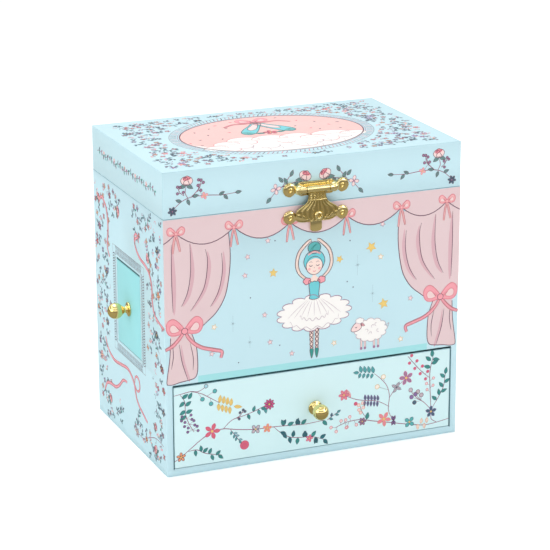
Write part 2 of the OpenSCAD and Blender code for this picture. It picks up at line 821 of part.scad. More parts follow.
// Worm with the two-bladed fly that holds back the speed
module governor_worm() {
    turns = worm_len / worm_pitch;
    low_y = second_y - worm_len / 2;
    core = [for (a = [72:36:288]) [1.65 * cos(a), 1.65 * sin(a)]];
    thread = [for (a = [-32:32:32]) [2.6 * cos(a), 2.6 * sin(a)]];
    color("#e8e4d8") {
        rod_y(worm_x, worm_z, 0.7, second_y - 14, second_y + 11.5);
        translate([worm_x, low_y, worm_z]) rotate([-90, 0, 0]) rotate([0, 0, -180 * turns])
            linear_extrude(worm_len, twist = -360 * turns, slices = 54, $fn = 10)
                polygon(concat(thread, core));
        slab([worm_x - 4.8, low_y - 5.6, worm_z - 0.3], [worm_x + 4.8, low_y - 1.6, worm_z + 0.3]);
        rod_y(worm_x, worm_z, 1.4, low_y - 5.8, low_y - 1.4);
    }
}

module governor_bracket() {
    low = frame_low_z + plate_t;
    high = worm_z + 4.3;
    front_y = second_y - 14.3;
    rear_y = second_y + 9.8;
    color("#d8d4c6") difference() {
        union() {
            slab([worm_x + 5.3, front_y, low], [worm_x + 6.8, rear_y + 2, high]);
            slab([worm_x - 6, front_y, low], [worm_x + 6.8, front_y + 2, high]);
            slab([worm_x - 6, rear_y, low], [worm_x + 6.8, rear_y + 2, high]);
            slab([second_x - 3, second_y - 2.6, high - 1.4], [worm_x + 6.8, rear_y + 2, high]);
        }
        rod_y(worm_x, worm_z, 0.7 + fit, front_y - 1, rear_y + 3);
        rod_z(second_x, second_y, 0.8 + fit, high - 2, high + 1);
    }
}

// Spring wire that the closing lid presses down until its toe holds the fly
module stop_wire() {
    toe_y = second_y - worm_len / 2 - 3.3;
    color("#9aa1a6") {
        rod_z(wire_x, wire_y, wire_r, wire_low_z, case_h);
        translate([wire_x, wire_y, wire_low_z]) sphere(wire_r);
        rod_y(wire_x, wire_low_z, wire_r, toe_y, wire_y);
        translate([wire_x, toe_y, wire_low_z]) sphere(wire_r);
        rod_x(toe_y, wire_low_z, wire_r, worm_x - 2, wire_x);
    }
}

// ---------------------------------------------------------------- dancer

module dancer_spindle() {
    color("#d4b25c") {
        rod_z(arbor_x, dancer_y, 1.5, drive_wheel_z - 1, stand_z);
        translate([arbor_x, dancer_y, drive_wheel_z])
            gear(dancer_teeth, drive_m, wheel_t, 0, turn = 90 + 180 / dancer_teeth);
        rod_z(arbor_x, dancer_y, 3, frame_high_z + 0.4, frame_high_z + 1.4);
        rod_z(arbor_x, dancer_y, 8, lining_z + 1.8, stand_z + 0.8);
    }
}

// A plain doll on one foot, arms raised in a ring
module dancer_figure() {
    k = dancer_h / 48;
    arm_len = 8;
    body = [[0, 0], [1.1, 0], [2, 18], [2.6, 21], [2.5, 25], [2.1, 28], [2.8, 31.2], [2.3, 32.4],
        [0.9, 33.6], [0.9, 35.4]];
    head = [for (a = [-50:20:50]) [3.1 * cos(a), 38 + 3.1 * sin(a)]];
    bun = [for (a = [-10:20:90]) [1.9 * cos(a), 41.6 + 1.9 * sin(a)]];
    color("#f2d3c2") translate([arbor_x, dancer_y, stand_z + 0.8]) scale(k) {
        rotate_extrude() polygon(concat(body, head, bun));
        for (side = [-1, 1]) {
            elbow_x = 1.7 + arm_len * sin(32);
            elbow_z = 31.5 + arm_len * cos(32);
            translate([side * 1.7, 0, 31.5]) rotate([0, side * 32, 0]) cylinder(h = arm_len, r = 0.75);
            translate([side * elbow_x, 0, elbow_z]) sphere(0.85);
            translate([side * elbow_x, 0, elbow_z]) rotate([0, -side * 34, 0])
                cylinder(h = arm_len + 1.5, r = 0.65);
        }
    }
}

// Room of the gathered tulle skirt
module dancer_tutu() {
    k = dancer_h / 48;
    color("#f8f4f2") translate([arbor_x, dancer_y, stand_z + 0.8]) scale(k) difference() {
        union() {
            translate([0, 0, 20.2]) cylinder(h = 2.4, r = 13.5);
            translate([0, 0, 22.6]) cylinder(h = 1.8, r1 = 13.5, r2 = 6);
            translate([0, 0, 24.4]) cylinder(h = 1.6, r1 = 6, r2 = 3.6);
        }
        translate([0, 0, 19]) cylinder(h = 8, r = 2.75);
    }
}

// ---------------------------------------------------------------- nodes

base_board();
left_side();
right_side();
back_board();
front_panel();
case_wrap();
drawer_shelf();
side_drawer_bay();
compartment_floor();
compartment_lining();
compartment_partition();
ring_rolls();
stage_disc();
lid_top_board();
lid_rim();
lid_wrap();
lid_liner();
mirror();
mirror_frame();
clasp_lid_plate();
clasp_hasp();
clasp_pin();
clasp_case_plate();
clasp_lid_nails();
clasp_case_nails();
hinge_lid_leaves();
hinge_case_leaves();
hinge_pins();
hinge_lid_nails();
hinge_case_nails();
drawer_front();
drawer_side_walls();
drawer_back_wall();
drawer_bottom();
drawer_felt();
drawer_knob();
drawer_knob_screw();
side_drawer_front();
side_drawer_tray();
side_drawer_felt();
side_drawer_knob();
side_drawer_knob_screw();
movement_frame();
movement_screws();
key_escutcheon();
spring_housing();
mainspring();
winding_arbor();
great_wheel();
winding_key();
cylinder_arbor();
tune_cylinder();
tune_comb();
governor_arbor();
governor_worm();
governor_bracket();
stop_wire();
dancer_spindle();
dancer_figure();
dancer_tutu();
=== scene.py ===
# A dancer's jewellery box: papered board case, printed panels, brass clasp and knobs,
# pink lined tray with ring rolls, a mirror and a small dancer on a musical movement.
import math
import random

import bmesh
import bpy
from mathutils import Matrix, Vector


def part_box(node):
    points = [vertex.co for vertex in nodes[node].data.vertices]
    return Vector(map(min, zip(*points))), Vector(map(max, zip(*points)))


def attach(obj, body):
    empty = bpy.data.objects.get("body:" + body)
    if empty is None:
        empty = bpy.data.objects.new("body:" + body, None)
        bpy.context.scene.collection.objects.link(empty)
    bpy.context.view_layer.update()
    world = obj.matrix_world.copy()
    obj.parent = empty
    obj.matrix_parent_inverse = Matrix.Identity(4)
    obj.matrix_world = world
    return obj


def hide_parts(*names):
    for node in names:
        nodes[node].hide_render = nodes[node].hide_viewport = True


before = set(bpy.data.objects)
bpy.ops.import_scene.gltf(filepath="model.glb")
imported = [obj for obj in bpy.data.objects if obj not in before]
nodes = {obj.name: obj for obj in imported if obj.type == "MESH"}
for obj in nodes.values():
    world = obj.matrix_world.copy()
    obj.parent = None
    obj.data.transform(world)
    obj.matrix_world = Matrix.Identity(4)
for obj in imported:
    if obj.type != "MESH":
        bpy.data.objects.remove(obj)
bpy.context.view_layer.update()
mm = 0.001
random.seed(11)

camera = {
    "azimuth": -22.633, "elevation": 17.330, "roll": 0.190,  # degrees
    "lens": 150.24, "distance": 1291.36, "aim": (9.7, 22.2, 77.7),  # mm
}
skin = {
    "inset": 0.12,       # mm from the case's face to the plain paper, room for the ink on it
    "paper": 0.17,       # thickness of the wrapping paper
    "upright": 0.55, "foot": 0.35, "top": 0.7,  # edge radii of the case and the lid
    "seam": 0.16,        # half of the dark line between case and lid
}
penWeight = 1.12         # how much heavier than drawn every line is printed
inkStep = 0.02           # mm that two layers of ink stand over the paper


# nodes and colours

def linear(hexColour):
    parts = [int(hexColour[i:i + 2], 16) / 255 for i in (1, 3, 5)]
    return tuple(p / 12.92 if p <= 0.04045 else ((p + 0.055) / 1.055) ** 2.4 for p in parts) + (1.0,)


def addNode(material, kind, inputs=None, **settings):
    node = material.node_tree.nodes.new(kind)
    for name, value in settings.items():
        setattr(node, name, value)
    for socket, value in (inputs or {}).items():
        if isinstance(value, bpy.types.NodeSocket):
            material.node_tree.links.new(value, node.inputs[socket])
        else:
            node.inputs[socket].default_value = value
    return node


def newMaterial(name, **inputs):
    material = bpy.data.materials.new(name)
    material.use_nodes = True
    shader = material.node_tree.nodes["Principled BSDF"]
    for socket, value in inputs.items():
        shader.inputs[socket.replace("_", " ")].default_value = value
    return material, shader


def link(material, output, target):
    material.node_tree.links.new(output, target)


def madeOf(name, tint=None, gloss=None, relief=None, **inputs):
    # a material whose colour, roughness and relief each follow a fine cloudy grain of its own:
    # tint has a grain and two colours, gloss a grain and two roughnesses, relief a grain and a depth
    material, shader = newMaterial(name, **inputs)
    place = addNode(material, "ShaderNodeTexCoord").outputs["Object"]
    for target, pattern in (("Base Color", tint), ("Roughness", gloss), ("Normal", relief)):
        if not pattern:
            continue
        grain, *ends = pattern
        size, detail, rough, stretch = *grain, *(0.55, (1, 1, 1))[len(grain) - 2:]
        sized = addNode(material, "ShaderNodeMapping", {"Vector": place, "Scale": stretch})
        cloud = addNode(material, "ShaderNodeTexNoise", {"Vector": sized.outputs[0], "Scale": 1 / (size * mm),
                                                         "Detail": detail, "Roughness": rough}).outputs["Fac"]
        if target == "Base Color":
            used = addNode(material, "ShaderNodeMix", {0: cloud, 6: linear(ends[0]), 7: linear(ends[1])},
                           data_type="RGBA").outputs[2]
        elif target == "Roughness":
            used = addNode(material, "ShaderNodeMapRange", {"Value": cloud, "From Min": 0.3, "From Max": 0.7,
                                                            "To Min": ends[0], "To Max": ends[1]}).outputs[0]
        else:
            used = addNode(material, "ShaderNodeBump", {"Height": cloud, "Distance": ends[0] * mm,
                                                        "Strength": 1.0}).outputs[0]
        link(material, used, shader.inputs[target])
    return material


# materials

def printedPaper(name, colourA, colourB):
    # offset-printed wrapping paper under a satin film: a soft broad shine, faint clouding, and fibres felt
    # through it, drawn coarser than they are
    return madeOf(name, ((26, 4, 0.6), colourA, colourB), ((1.4, 2), 0.42, 0.56), ((0.5, 4, 0.6), 0.012),
                  IOR=1.47, Coat_Weight=0.12, Coat_Roughness=0.32)


def printingInk(name, colour):
    # offset ink on the same film: a touch glossier than the paper, so that a line catches the light
    return madeOf("printed ink " + name, None, ((0.9, 2), 0.36, 0.5), ((0.5, 3), 0.008),
                  Base_Color=linear(colour), IOR=1.5)


def polishedBrass(name, colour, roughLow, roughHigh, scratch=0.004):
    # pressed and tumbled brass plate: bright gold with dark reflections and fine hairlines
    return madeOf(name, None, ((1.1, 4, 0.6), roughLow, roughHigh), ((0.35, 2, 0.5, (0.25, 1, 1)), scratch),
                  Base_Color=linear(colour), Metallic=1.0)


def stampedBrass(name, colour):
    # the die's grained ground between the shell's ribs: dull, pitted gold
    return madeOf(name, None, ((0.5, 3), 0.28, 0.46), ((0.28, 2, 0.7), 0.05),
                  Base_Color=linear(colour), Metallic=1.0)


inkColours = {
    "plum": "#6f4a5e", "line": "#7a566a", "vine": "#a45f7d", "greyLine": "#6f7f92", "coral": "#f08c99",
    "rose": "#f7b7b8", "blush": "#fadcda", "magenta": "#d9568f", "red": "#e0647a", "teal": "#35988f",
    "deepTeal": "#1f7078", "sea": "#59b3b4", "turquoise": "#6fd0da", "sky": "#a7dbe6", "grey": "#7f9aa8",
    "slate": "#4b6a7e", "violet": "#8d6fa8", "mauve": "#a87b9c", "orange": "#f0a077", "ochre": "#e2b968",
    "gold": "#f0cf76", "white": "#fbf8f5", "cream": "#fdf1e4", "stage": "#a3e2e6", "foldPink": "#dcb1ba",
    "skin": "#fbe1d6", "ribbonPink": "#f6a3ae", "hatch": "#8d8794", "stone": "#c9b8c2", "navy": "#3d4a66",
    # the dark teal ink of the drawers' gaps below is painted shade
    "slateViolet": "#6a6680", "bowHollow": "#f3d3d2", "gapTeal": "#2c6670", "sage": "#6d9a98",
}
inkMade = {}


def ink(name):
    if name not in inkMade:
        inkMade[name] = printingInk(name, inkColours[name])
    return inkMade[name]


print("stage 1: materials")
bluePaper = printedPaper("pale blue printed paper", "#c3e5ee", "#c9e9f2")
drawerPaper = printedPaper("drawer blue printed paper", "#d4f3f6", "#daf6f9")
turquoisePaper = printedPaper("turquoise printed paper", "#97dfe4", "#9de3e8")
curtainPaper = printedPaper("curtain pink printed ink", "#e7cfd1", "#e3c7ca")
ovalPaper = printedPaper("oval pink printed ink", "#fbccc8", "#f9c3be")
brass = polishedBrass("polished brass", "#f3e0a2", 0.1, 0.2)
brassKnob = polishedBrass("lacquered brass knob", "#f2dc94", 0.05, 0.12, 0.002)
brassGround = stampedBrass("grained stamped brass", "#b6a46b")


# small tools

def keep(name, bm, body, materials, replaced=(), smooth=None, tidy=False):
    # makes the finished piece at the origin and hangs it on its body
    if tidy:
        bmesh.ops.remove_doubles(bm, verts=bm.verts, dist=1e-7)
        bmesh.ops.recalc_face_normals(bm, faces=bm.faces)
    mesh = bpy.data.meshes.new(name)
    bm.to_mesh(mesh)
    bm.free()
    for material in materials:
        mesh.materials.append(material)
    piece = bpy.data.objects.new(name, mesh)
    bpy.context.scene.collection.objects.link(piece)
    if smooth is not None:
        mesh.shade_smooth()
        mesh.set_sharp_from_angle(angle=math.radians(smooth))
    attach(piece, body)
    if replaced:
        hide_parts(*replaced)
    return piece


def boxOf(node):
    low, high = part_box(node)
    return Vector(low) / mm, Vector(high) / mm


def cubeBetween(bm, low, high):
    low, high = Vector(low) * mm, Vector(high) * mm
    size = high - low
    place = Matrix.Translation((low + high) / 2) @ Matrix.Diagonal((size.x, size.y, size.z, 1))
    return bmesh.ops.create_cube(bm, size=1, matrix=place)["verts"]


def roundEdges(bm, edges, radius, segments=3):
    bmesh.ops.bevel(bm, geom=list(edges), offset=radius * mm, segments=segments, affect="EDGES",
                    profile=0.5, material=-1, clamp_overlap=True)


def smoothLine(points, closed=False, steps=5):
    # a Catmull-Rom curve through the points
    if len(points) < 3:
        return list(points)
    last = len(points)
    found = []
    for i in range(last if closed else last - 1):
        if closed:
            a, b, c, d = (points[(i + k) % last] for k in (-1, 0, 1, 2))
        else:
            a, b, c, d = (points[min(max(i + k, 0), last - 1)] for k in (-1, 0, 1, 2))
        for s in range(steps):
            t = s / steps
            found.append(tuple(
                0.5 * (2 * b[n] + (c[n] - a[n]) * t + (2 * a[n] - 5 * b[n] + 4 * c[n] - d[n]) * t * t
                       + (3 * b[n] - a[n] - 3 * c[n] + d[n]) * t ** 3) for n in range(len(b))))
    if not closed:
        found.append(tuple(points[-1]))
    return found


def turned(points, angle, at=(0, 0), size=1.0, flip=1):
    c, s = math.cos(math.radians(angle)), math.sin(math.radians(angle))
    return [(at[0] + size * (u * c - v * flip * s), at[1] + size * (u * s + v * flip * c)) for u, v in points]


# printing

def newPanel(name, body, side):
    # a face's own millimetres on the box; the ink lifts along across x up
    corner, across, up = (Vector(v) for v in sides[side])
    return {"name": name, "body": body, "corner": corner, "across": across, "up": up,
            "wide": width if across.x else depth, "fills": [], "strokes": []}


def fill(panel, colour, layer, outline):
    panel["fills"].append((layer, colour, outline))


def stroke(panel, colour, layer, width, points, closed=False, taper=0.0):
    panel["strokes"].append((layer, colour, round(width * penWeight, 2), closed, taper, points))


def inkHeight(layer):
    return inkStep * 0.6 * (layer + 0.7)


def strokeMesh(group, width, height):
    curve = bpy.data.curves.new("strokes", "CURVE")
    curve.dimensions = "3D"
    curve.twist_mode = "Z_UP"
    curve.bevel_depth = width / 2
    curve.bevel_resolution = 0
    curve.use_fill_caps = True
    for closed, taper, points in group:
        spline = curve.splines.new("POLY")
        spline.points.add(len(points) - 1)
        spline.use_cyclic_u = closed
        for i, (u, v) in enumerate(points):
            spline.points[i].co = (u, v, 0, 1)
            near = min(i, len(points) - 1 - i) / max(1, (len(points) - 1) / 2)
            spline.points[i].radius = 1.0 if closed else 1 - taper * (1 - min(1, near * 1.6))
    holder = bpy.data.objects.new("strokes", curve)
    mesh = bpy.data.meshes.new_from_object(holder)
    bpy.data.objects.remove(holder)
    bpy.data.curves.remove(curve)
    for vertex in mesh.vertices:  # a printed line is flat on top and its root is in the paper
        vertex.co.z = height if vertex.co.z > -0.2 * width else -0.02
    return mesh


def printPanel(panel):
    colours = sorted({f[1] for f in panel["fills"]} | {s[1] for s in panel["strokes"]})
    bm = bmesh.new()
    for layer in sorted({f[0] for f in panel["fills"]}):
        faces = []
        for k, (_, colour, outline) in enumerate(f for f in panel["fills"] if f[0] == layer):
            root = -0.02 + 0.0011 * (k % 7)  # overlapping petals don't lie in one plane
            face = bm.faces.new([bm.verts.new((u, v, root)) for u, v in outline])
            face.material_index = colours.index(colour)
            faces.append(face)
        grown = bmesh.ops.extrude_face_region(bm, geom=faces)["geom"]
        bmesh.ops.translate(bm, vec=(0, 0, inkHeight(layer) + 0.012),
                            verts=[g for g in grown if isinstance(g, bmesh.types.BMVert)])
    groups = {}
    for layer, colour, width, closed, taper, points in panel["strokes"]:
        groups.setdefault((layer, colour, width), []).append((closed, taper, points))
    for (layer, colour, width), group in sorted(groups.items()):
        mesh = strokeMesh(group, width, inkHeight(layer))
        before = len(bm.faces)
        bm.from_mesh(mesh)
        bpy.data.meshes.remove(mesh)
        bm.faces.ensure_lookup_table()
        for i in range(before, len(bm.faces)):
            bm.faces[i].material_index = colours.index(colour)
    for vertex in bm.verts:  # nothing is printed past the corners
        vertex.co.x = min(max(vertex.co.x, skin["inset"]), panel["wide"] - skin["inset"])
    bmesh.ops.remove_doubles(bm, verts=bm.verts, dist=1e-5)
    bmesh.ops.recalc_face_normals(bm, faces=bm.faces)
    out = panel["across"].cross(panel["up"])
    place = Matrix((panel["across"], panel["up"], out)).transposed().to_4x4()
    place.translation = panel["corner"] - out * skin["inset"]
    bmesh.ops.transform(bm, matrix=Matrix.Scale(mm, 4) @ place, verts=bm.verts)
    keep(panel["name"], bm, panel["body"], [ink(c) for c in colours])


# flowers and ribbons, in millimetres

def leafShape(long, wide, steps=5):
    ts = [i / steps for i in range(steps + 1)]
    upper = [(t * long, math.sin(math.pi * t ** 0.8) * wide / 2) for t in ts]
    return upper[:-1] + [(t * long, -math.sin(math.pi * t ** 0.8) * wide / 2) for t in reversed(ts[1:])]


def petalShape(long, wide, steps=7):
    ts = [i / steps for i in range(steps + 1)]
    upper = [(t * long, math.sin(math.pi * t ** 1.35) ** 0.75 * wide / 2) for t in ts[1:-1]]
    return [(0, 0)] + upper + [(long, 0)] + [(u, -v) for u, v in reversed(upper)]


def heading(a, b):
    return math.degrees(math.atan2(b[1] - a[1], b[0] - a[0]))


def stepFrom(at, angle, reach):
    return turned([(reach, 0)], angle, at)[0]


def ellipse(centre, radii, steps=72):
    return [(centre[0] + radii[0] * math.cos(a), centre[1] + radii[1] * math.sin(a))
            for a in (k * math.tau / steps for k in range(steps))]


def outlined(panel, colour, layer, outline, edge=None, weight=0.24):
    fill(panel, colour, layer, outline)
    if edge:
        stroke(panel, edge, layer + 1, weight, outline, True)


def leaf(panel, at, angle, colour, long=3.4, wide=1.7, layer=2, edge=None):
    outlined(panel, colour, layer, turned(leafShape(long, wide), angle, at), edge, 0.22)
    if edge:
        stroke(panel, edge, layer + 1, 0.18, [at, stepFrom(at, angle, long * 0.75)])


def leaves(panel, places, colour, long, wide, edge):
    for u, v, angle in places:
        leaf(panel, (u, v), angle, colour, long, wide, 2, edge)


def dot(panel, at, radius, colour, layer=2, edge=None, steps=10):
    outlined(panel, colour, layer, ellipse(at, (radius, radius), steps), edge)


def blossom(panel, at, radius, colour, heart="gold", petals=4, turn=40, edge="plum", layer=2, fat=0.75):
    wide = radius * (2 * fat / petals ** 0.9 + 0.18)
    for k in range(petals):
        petal = turned(petalShape(radius, wide), turn + k * 360 / petals, at)
        outlined(panel, colour, layer, petal, edge, 0.22)
    dot(panel, at, radius * 0.17, heart, layer + 2, steps=8)


roseLines = {
    "cup": [(-0.1, 0), (0.05, 0.62), (0.55, 0.95), (1.0, 0.72), (1.2, 0.3), (1.32, 0), (1.2, -0.3),
            (1.0, -0.72), (0.55, -0.95), (0.05, -0.62)],
    "heart": [(0.62, 0.5), (1.0, 0.62), (1.22, 0.2), (1.18, -0.35), (0.95, -0.62), (0.66, -0.2)],
    "curls": [[(0.05, 0.45), (0.42, 0.42), (0.72, 0.05), (0.98, -0.5)],
              [(0.66, 0.4), (0.9, 0.5), (1.15, 0.25)], [(0.1, -0.5), (0.4, -0.3), (0.66, -0.16)],
              [(0.85, -0.1), (1.1, 0.05), (0.98, 0.3), (0.8, 0.2)]],
}


def rose(panel, at, size, angle=90, layer=2, body="rose", edge="plum", sepal="teal"):
    # a half-open rose seen from the side, standing along the angle
    for side in (-1, 1):
        leaf(panel, at, angle + side * 118, sepal, size * 1.25, size * 0.6, layer, edge)
    cup, heart = (smoothLine(turned(roseLines[part], angle, at, size), True, 3) for part in ("cup", "heart"))
    outlined(panel, body, layer + 1, cup, edge)
    fill(panel, "coral", layer + 2, heart)
    for curl in roseLines["curls"]:
        stroke(panel, edge, layer + 3, 0.26, smoothLine(turned(curl, angle, at, size)), taper=0.3)


def stem(panel, points, colour="vine", width=0.34, layer=1, taper=0.35):
    stroke(panel, colour, layer, width, smoothLine(points), taper=taper)


def twig(panel, foot, tip, radius, colour, edge, width=0.22, steps=10):
    # a short stalk with a berry or bud at its tip
    stem(panel, [foot, tip], width=width)
    dot(panel, tip, radius, colour, 2, edge, steps)


def alongLine(line, share):
    # a place on a line and the way it runs there
    i = min(len(line) - 2, int(share * (len(line) - 1)))
    return line[i], heading(line[i], line[i + 1])


def leafSprig(panel, points, colours, count, long=2.6, wide=1.4, edge="plum"):
    # a stem with leaves left and right and one at its tip
    line = smoothLine(points)
    stroke(panel, "vine", 1, 0.3, line, taper=0.3)
    for k in range(count):
        at, way = alongLine(line, 0.25 + 0.75 * (k + 0.3) / count)
        leaf(panel, at, way + (52 if k % 2 else -52), colours[k % len(colours)], long, wide, 2, edge)
    leaf(panel, line[-1], heading(*line[-2:]), colours[0], long, wide, 2, edge)


def berrySprig(panel, points, colour, twigs, radius=0.8, reach=2.6, edge="plum"):
    line = smoothLine(points)
    stroke(panel, "vine", 1, 0.3, line, taper=0.3)
    for k in range(twigs):
        at, way = alongLine(line, (k + 0.6) / (twigs + 0.3))
        tip = stepFrom(at, way + (48 if k % 2 else -48), reach)
        stroke(panel, "vine", 1, 0.24, [at, tip])
        dot(panel, tip, radius, colour, 2, edge)
    dot(panel, line[-1], radius, colour, 2, edge)


def star(panel, at, radius, colour="gold", edge="ochre", turn=12, layer=1):
    shape = [stepFrom(at, turn + 36 * k, radius * (0.46 if k % 2 else 1)) for k in range(10)]
    outlined(panel, colour, layer, shape, edge)


def sparkle(panel, at, tall, wide, colour="grey"):
    for k in range(8):
        width, reach, taper = (0.2, wide * 0.6, 0.5) if k % 2 else (0.3, wide if k in (0, 4) else tall, 0.8)
        stroke(panel, colour, 2, width, [at, stepFrom(at, 45 * k, reach)], taper=taper)


def band(panel, points, width, colour="ribbonPink", edge="coral", layer=2):
    # a satin ribbon: a light fold with darker borders
    line = smoothLine(points)
    stroke(panel, edge, layer, width + 0.42, line, taper=0.25)
    stroke(panel, colour, layer + 1, width, line, taper=0.25)


bowLoop = [(0, 0), (0.28, 0.48), (0.68, 0.78), (1.02, 0.62), (1.1, 0.22), (0.9, -0.14), (0.45, -0.2)]


def bow(panel, at, size, tails, width=0.8, colour="ribbonPink", edge="coral", layer=3):
    def place(points, side, start=(0, 0), shrink=(1, 1)):
        return [(at[0] + side * (start[0] + u * shrink[0]) * size, at[1] + (start[1] + v * shrink[1]) * size)
                for u, v in points]

    for tail in tails:
        band(panel, [(at[0] + u, at[1] + v) for u, v in tail], width, colour, edge, layer)
    for side in (-1, 1):
        loop = smoothLine(place(bowLoop, side), True, 4)
        outlined(panel, colour, layer + 1, loop, edge, 0.42 if size > 3 else 0.3)
        hollow = smoothLine(place(bowLoop, side, (0.32, 0.06), (0.52, 0.5)), True, 3)
        outlined(panel, "bowHollow", layer + 2, hollow, edge, 0.34 if size > 5 else 0.2)
        for reach in (0.5, 0.34):
            crease = place([(0.1, 0.02), (reach * 0.6, 0.1), (reach, 0.3)], side)
            stroke(panel, edge, layer + 3, 0.26, smoothLine(crease), taper=0.5)
    dot(panel, at, size * 0.19, colour, layer + 4, "plum" if size > 5 else edge)


def hatchBorder(panel, path, gap, long, colours, rows=((0.24, 62), (0.74, 118)), reach=0.26):
    # little slanted stitches along a closed path; a row is its share of long and its lean in degrees
    marks = []
    for a, b in zip(path, path[1:] + path[:1]):
        count = max(1, round(math.dist(a, b) / gap))
        for k in range(count):
            share = (k + 0.5) / count
            marks.append(((a[0] + (b[0] - a[0]) * share, a[1] + (b[1] - a[1]) * share), heading(a, b)))
    for k, (at, way) in enumerate(marks):
        for row, lean in rows:
            middle = turned([(0, row * long)], way, at)[0]
            ends = [stepFrom(middle, way + lean, side * long * reach) for side in (-1, 1)]
            stroke(panel, colours[k % len(colours)], 1, 0.42, ends)


def scatter(panel, spots, size=1.0, edge=None):
    # small filler sprigs, each a stem with a few leaves or a flower
    greens = ("teal", "slate", "sea", "grey", "mauve")
    reds = ("mauve", "coral", "violet", "rose", "red", "orange")
    for at in spots:
        angle, kind = random.uniform(0, 360), random.random()
        if kind < 0.42:
            stroke(panel, random.choice(("line", "greyLine")), 1, 0.26, [at, stepFrom(at, angle, 2.6 * size)])
            for k in range(3):
                leaf(panel, stepFrom(at, angle, k * 1.1 * size), angle + (55, -55, 0)[k],
                     random.choice(greens), 1.9 * size, 0.95 * size, 2, edge)
        elif kind < 0.7:
            blossom(panel, at, 1.6 * size, random.choice(reds), "gold", random.choice((4, 5)), angle, edge)
        elif kind < 0.88:
            for k in range(3):
                tip = stepFrom(at, angle + k * 45, 2.0 * size)
                stroke(panel, "line", 1, 0.24, [at, tip])
                dot(panel, tip, 0.55 * size, random.choice(reds), 2, steps=8)
        else:
            curl = [(0, 0), (1, 0.8), (2.2, 0.6), (2.5, -0.3), (1.9, -0.6)]
            stroke(panel, random.choice(("mauve", "coral", "greyLine")), 1, 0.3,
                   smoothLine(turned(curl, angle, at, size)), taper=0.4)


def spotsIn(low, high, gap, allowed):
    # a jittered grid of places
    found = []
    for j in range(int((high[1] - low[1]) / gap) + 1):
        for i in range(int((high[0] - low[0]) / gap) + 1):
            at = (low[0] + (i + (j % 2) / 2 + random.uniform(-0.3, 0.3)) * gap,
                  low[1] + (j + random.uniform(-0.3, 0.3)) * gap)
            if low[0] <= at[0] <= high[0] and low[1] <= at[1] <= high[1] and allowed(*at):
                found.append(at)
    return found


# papered case and lid

def cutOut(bm, low, high):
    # opens a window between two corners of the case, in the faces that stand in it
    for axis in range(3):
        for value in (low[axis], high[axis]):
            normal = [0, 0, 0]
            normal[axis] = 1
            bmesh.ops.bisect_plane(bm, geom=bm.verts[:] + bm.edges[:] + bm.faces[:], dist=1e-7,
                                   plane_co=[value * mm * n for n in normal], plane_no=normal)
    inside = [f for f in bm.faces
              if all(low[k] * mm < f.calc_center_median()[k] < high[k] * mm for k in range(3))]
    bmesh.ops.delete(bm, geom=inside, context="FACES")


def paperSkin(name, low, high, body, replaced, closedTop, windows=()):
    bm = bmesh.new()
    inset = Vector((skin["inset"], skin["inset"], 0))
    cubeBetween(bm, low + inset, high - inset - Vector((0, 0, skin["inset"] if closedTop else 0)))
    upright = [e for e in bm.edges if abs(e.verts[0].co.z - e.verts[1].co.z) > 1e-6]
    level = [e for e in bm.edges if abs(e.verts[0].co.z - e.verts[1].co.z) < 1e-6]
    topmost = [e for e in level if (e.verts[0].co.z > (low.z + high.z) / 2 * mm) == closedTop]
    if closedTop:
        roundEdges(bm, upright + topmost, skin["top"], 4)
    else:
        roundEdges(bm, upright, skin["upright"], 4)
    bm.faces.ensure_lookup_table()
    doomed = [f for f in bm.faces if f.normal.z < -0.9 or (f.normal.z > 0.9 and not closedTop)]
    bmesh.ops.delete(bm, geom=doomed, context="FACES")
    for window in windows:
        cutOut(bm, *window)
    piece = keep(name, bm, body, [bluePaper], replaced, smooth=35, tidy=True)
    wall = piece.modifiers.new("paper thickness", "SOLIDIFY")
    wall.thickness = skin["paper"] * mm
    wall.offset = -1
    return piece


def paperedBoard(name, node, body, material, radius=0.45, front=(0, 0, 0)):
    # a loose board with softened edges, set back by front for its ink
    low, high = boxOf(node)
    shift = Vector(front) * skin["inset"]
    bm = bmesh.new()
    cubeBetween(bm, low + Vector([max(0, s) for s in shift]), high + Vector([min(0, s) for s in shift]))
    roundEdges(bm, bm.edges, radius, 3)
    return keep(name, bm, body, [material], [node], smooth=35, tidy=True)


caseLow, caseHigh = boxOf("case_wrap")
lidLow, lidHigh = boxOf("lid_wrap")
drawerLow, drawerHigh = boxOf("drawer_front")
sideLow, sideHigh = boxOf("side_drawer_front")
opening = {"slack": 0.4, "above": 0.6, "below": 0.2}  # mm round the drawers' fronts
seamZ = caseHigh.z
halfW, halfD = caseHigh.x, caseHigh.y
width, depth = halfW * 2, halfD * 2

gap, above, below = opening["slack"], opening["above"], opening["below"]
frontWindow = (Vector((drawerLow.x - gap, -halfD - 2, drawerLow.z - below)),
               Vector((drawerHigh.x + gap, -halfD + 2, drawerHigh.z + above)))
sideWindow = (Vector((-halfW - 2, sideLow.y - gap, sideLow.z - below)),
              Vector((-halfW + 2, sideHigh.y + gap, sideHigh.z + above)))
seam = Vector((0, 0, skin["seam"]))
paperSkin("case_paper", caseLow, caseHigh - seam, "case", ["case_wrap"], False, (frontWindow, sideWindow))
paperSkin("lid_paper", lidLow + seam, lidHigh, "lid", ["lid_wrap"], True)
paperedBoard("front_drawer_face", "drawer_front", "front_drawer", drawerPaper, 0.4,
             (0, 1, 0))
paperedBoard("side_drawer_face", "side_drawer_front", "side_drawer", turquoisePaper, 0.4)
print("stage 2: papered case")

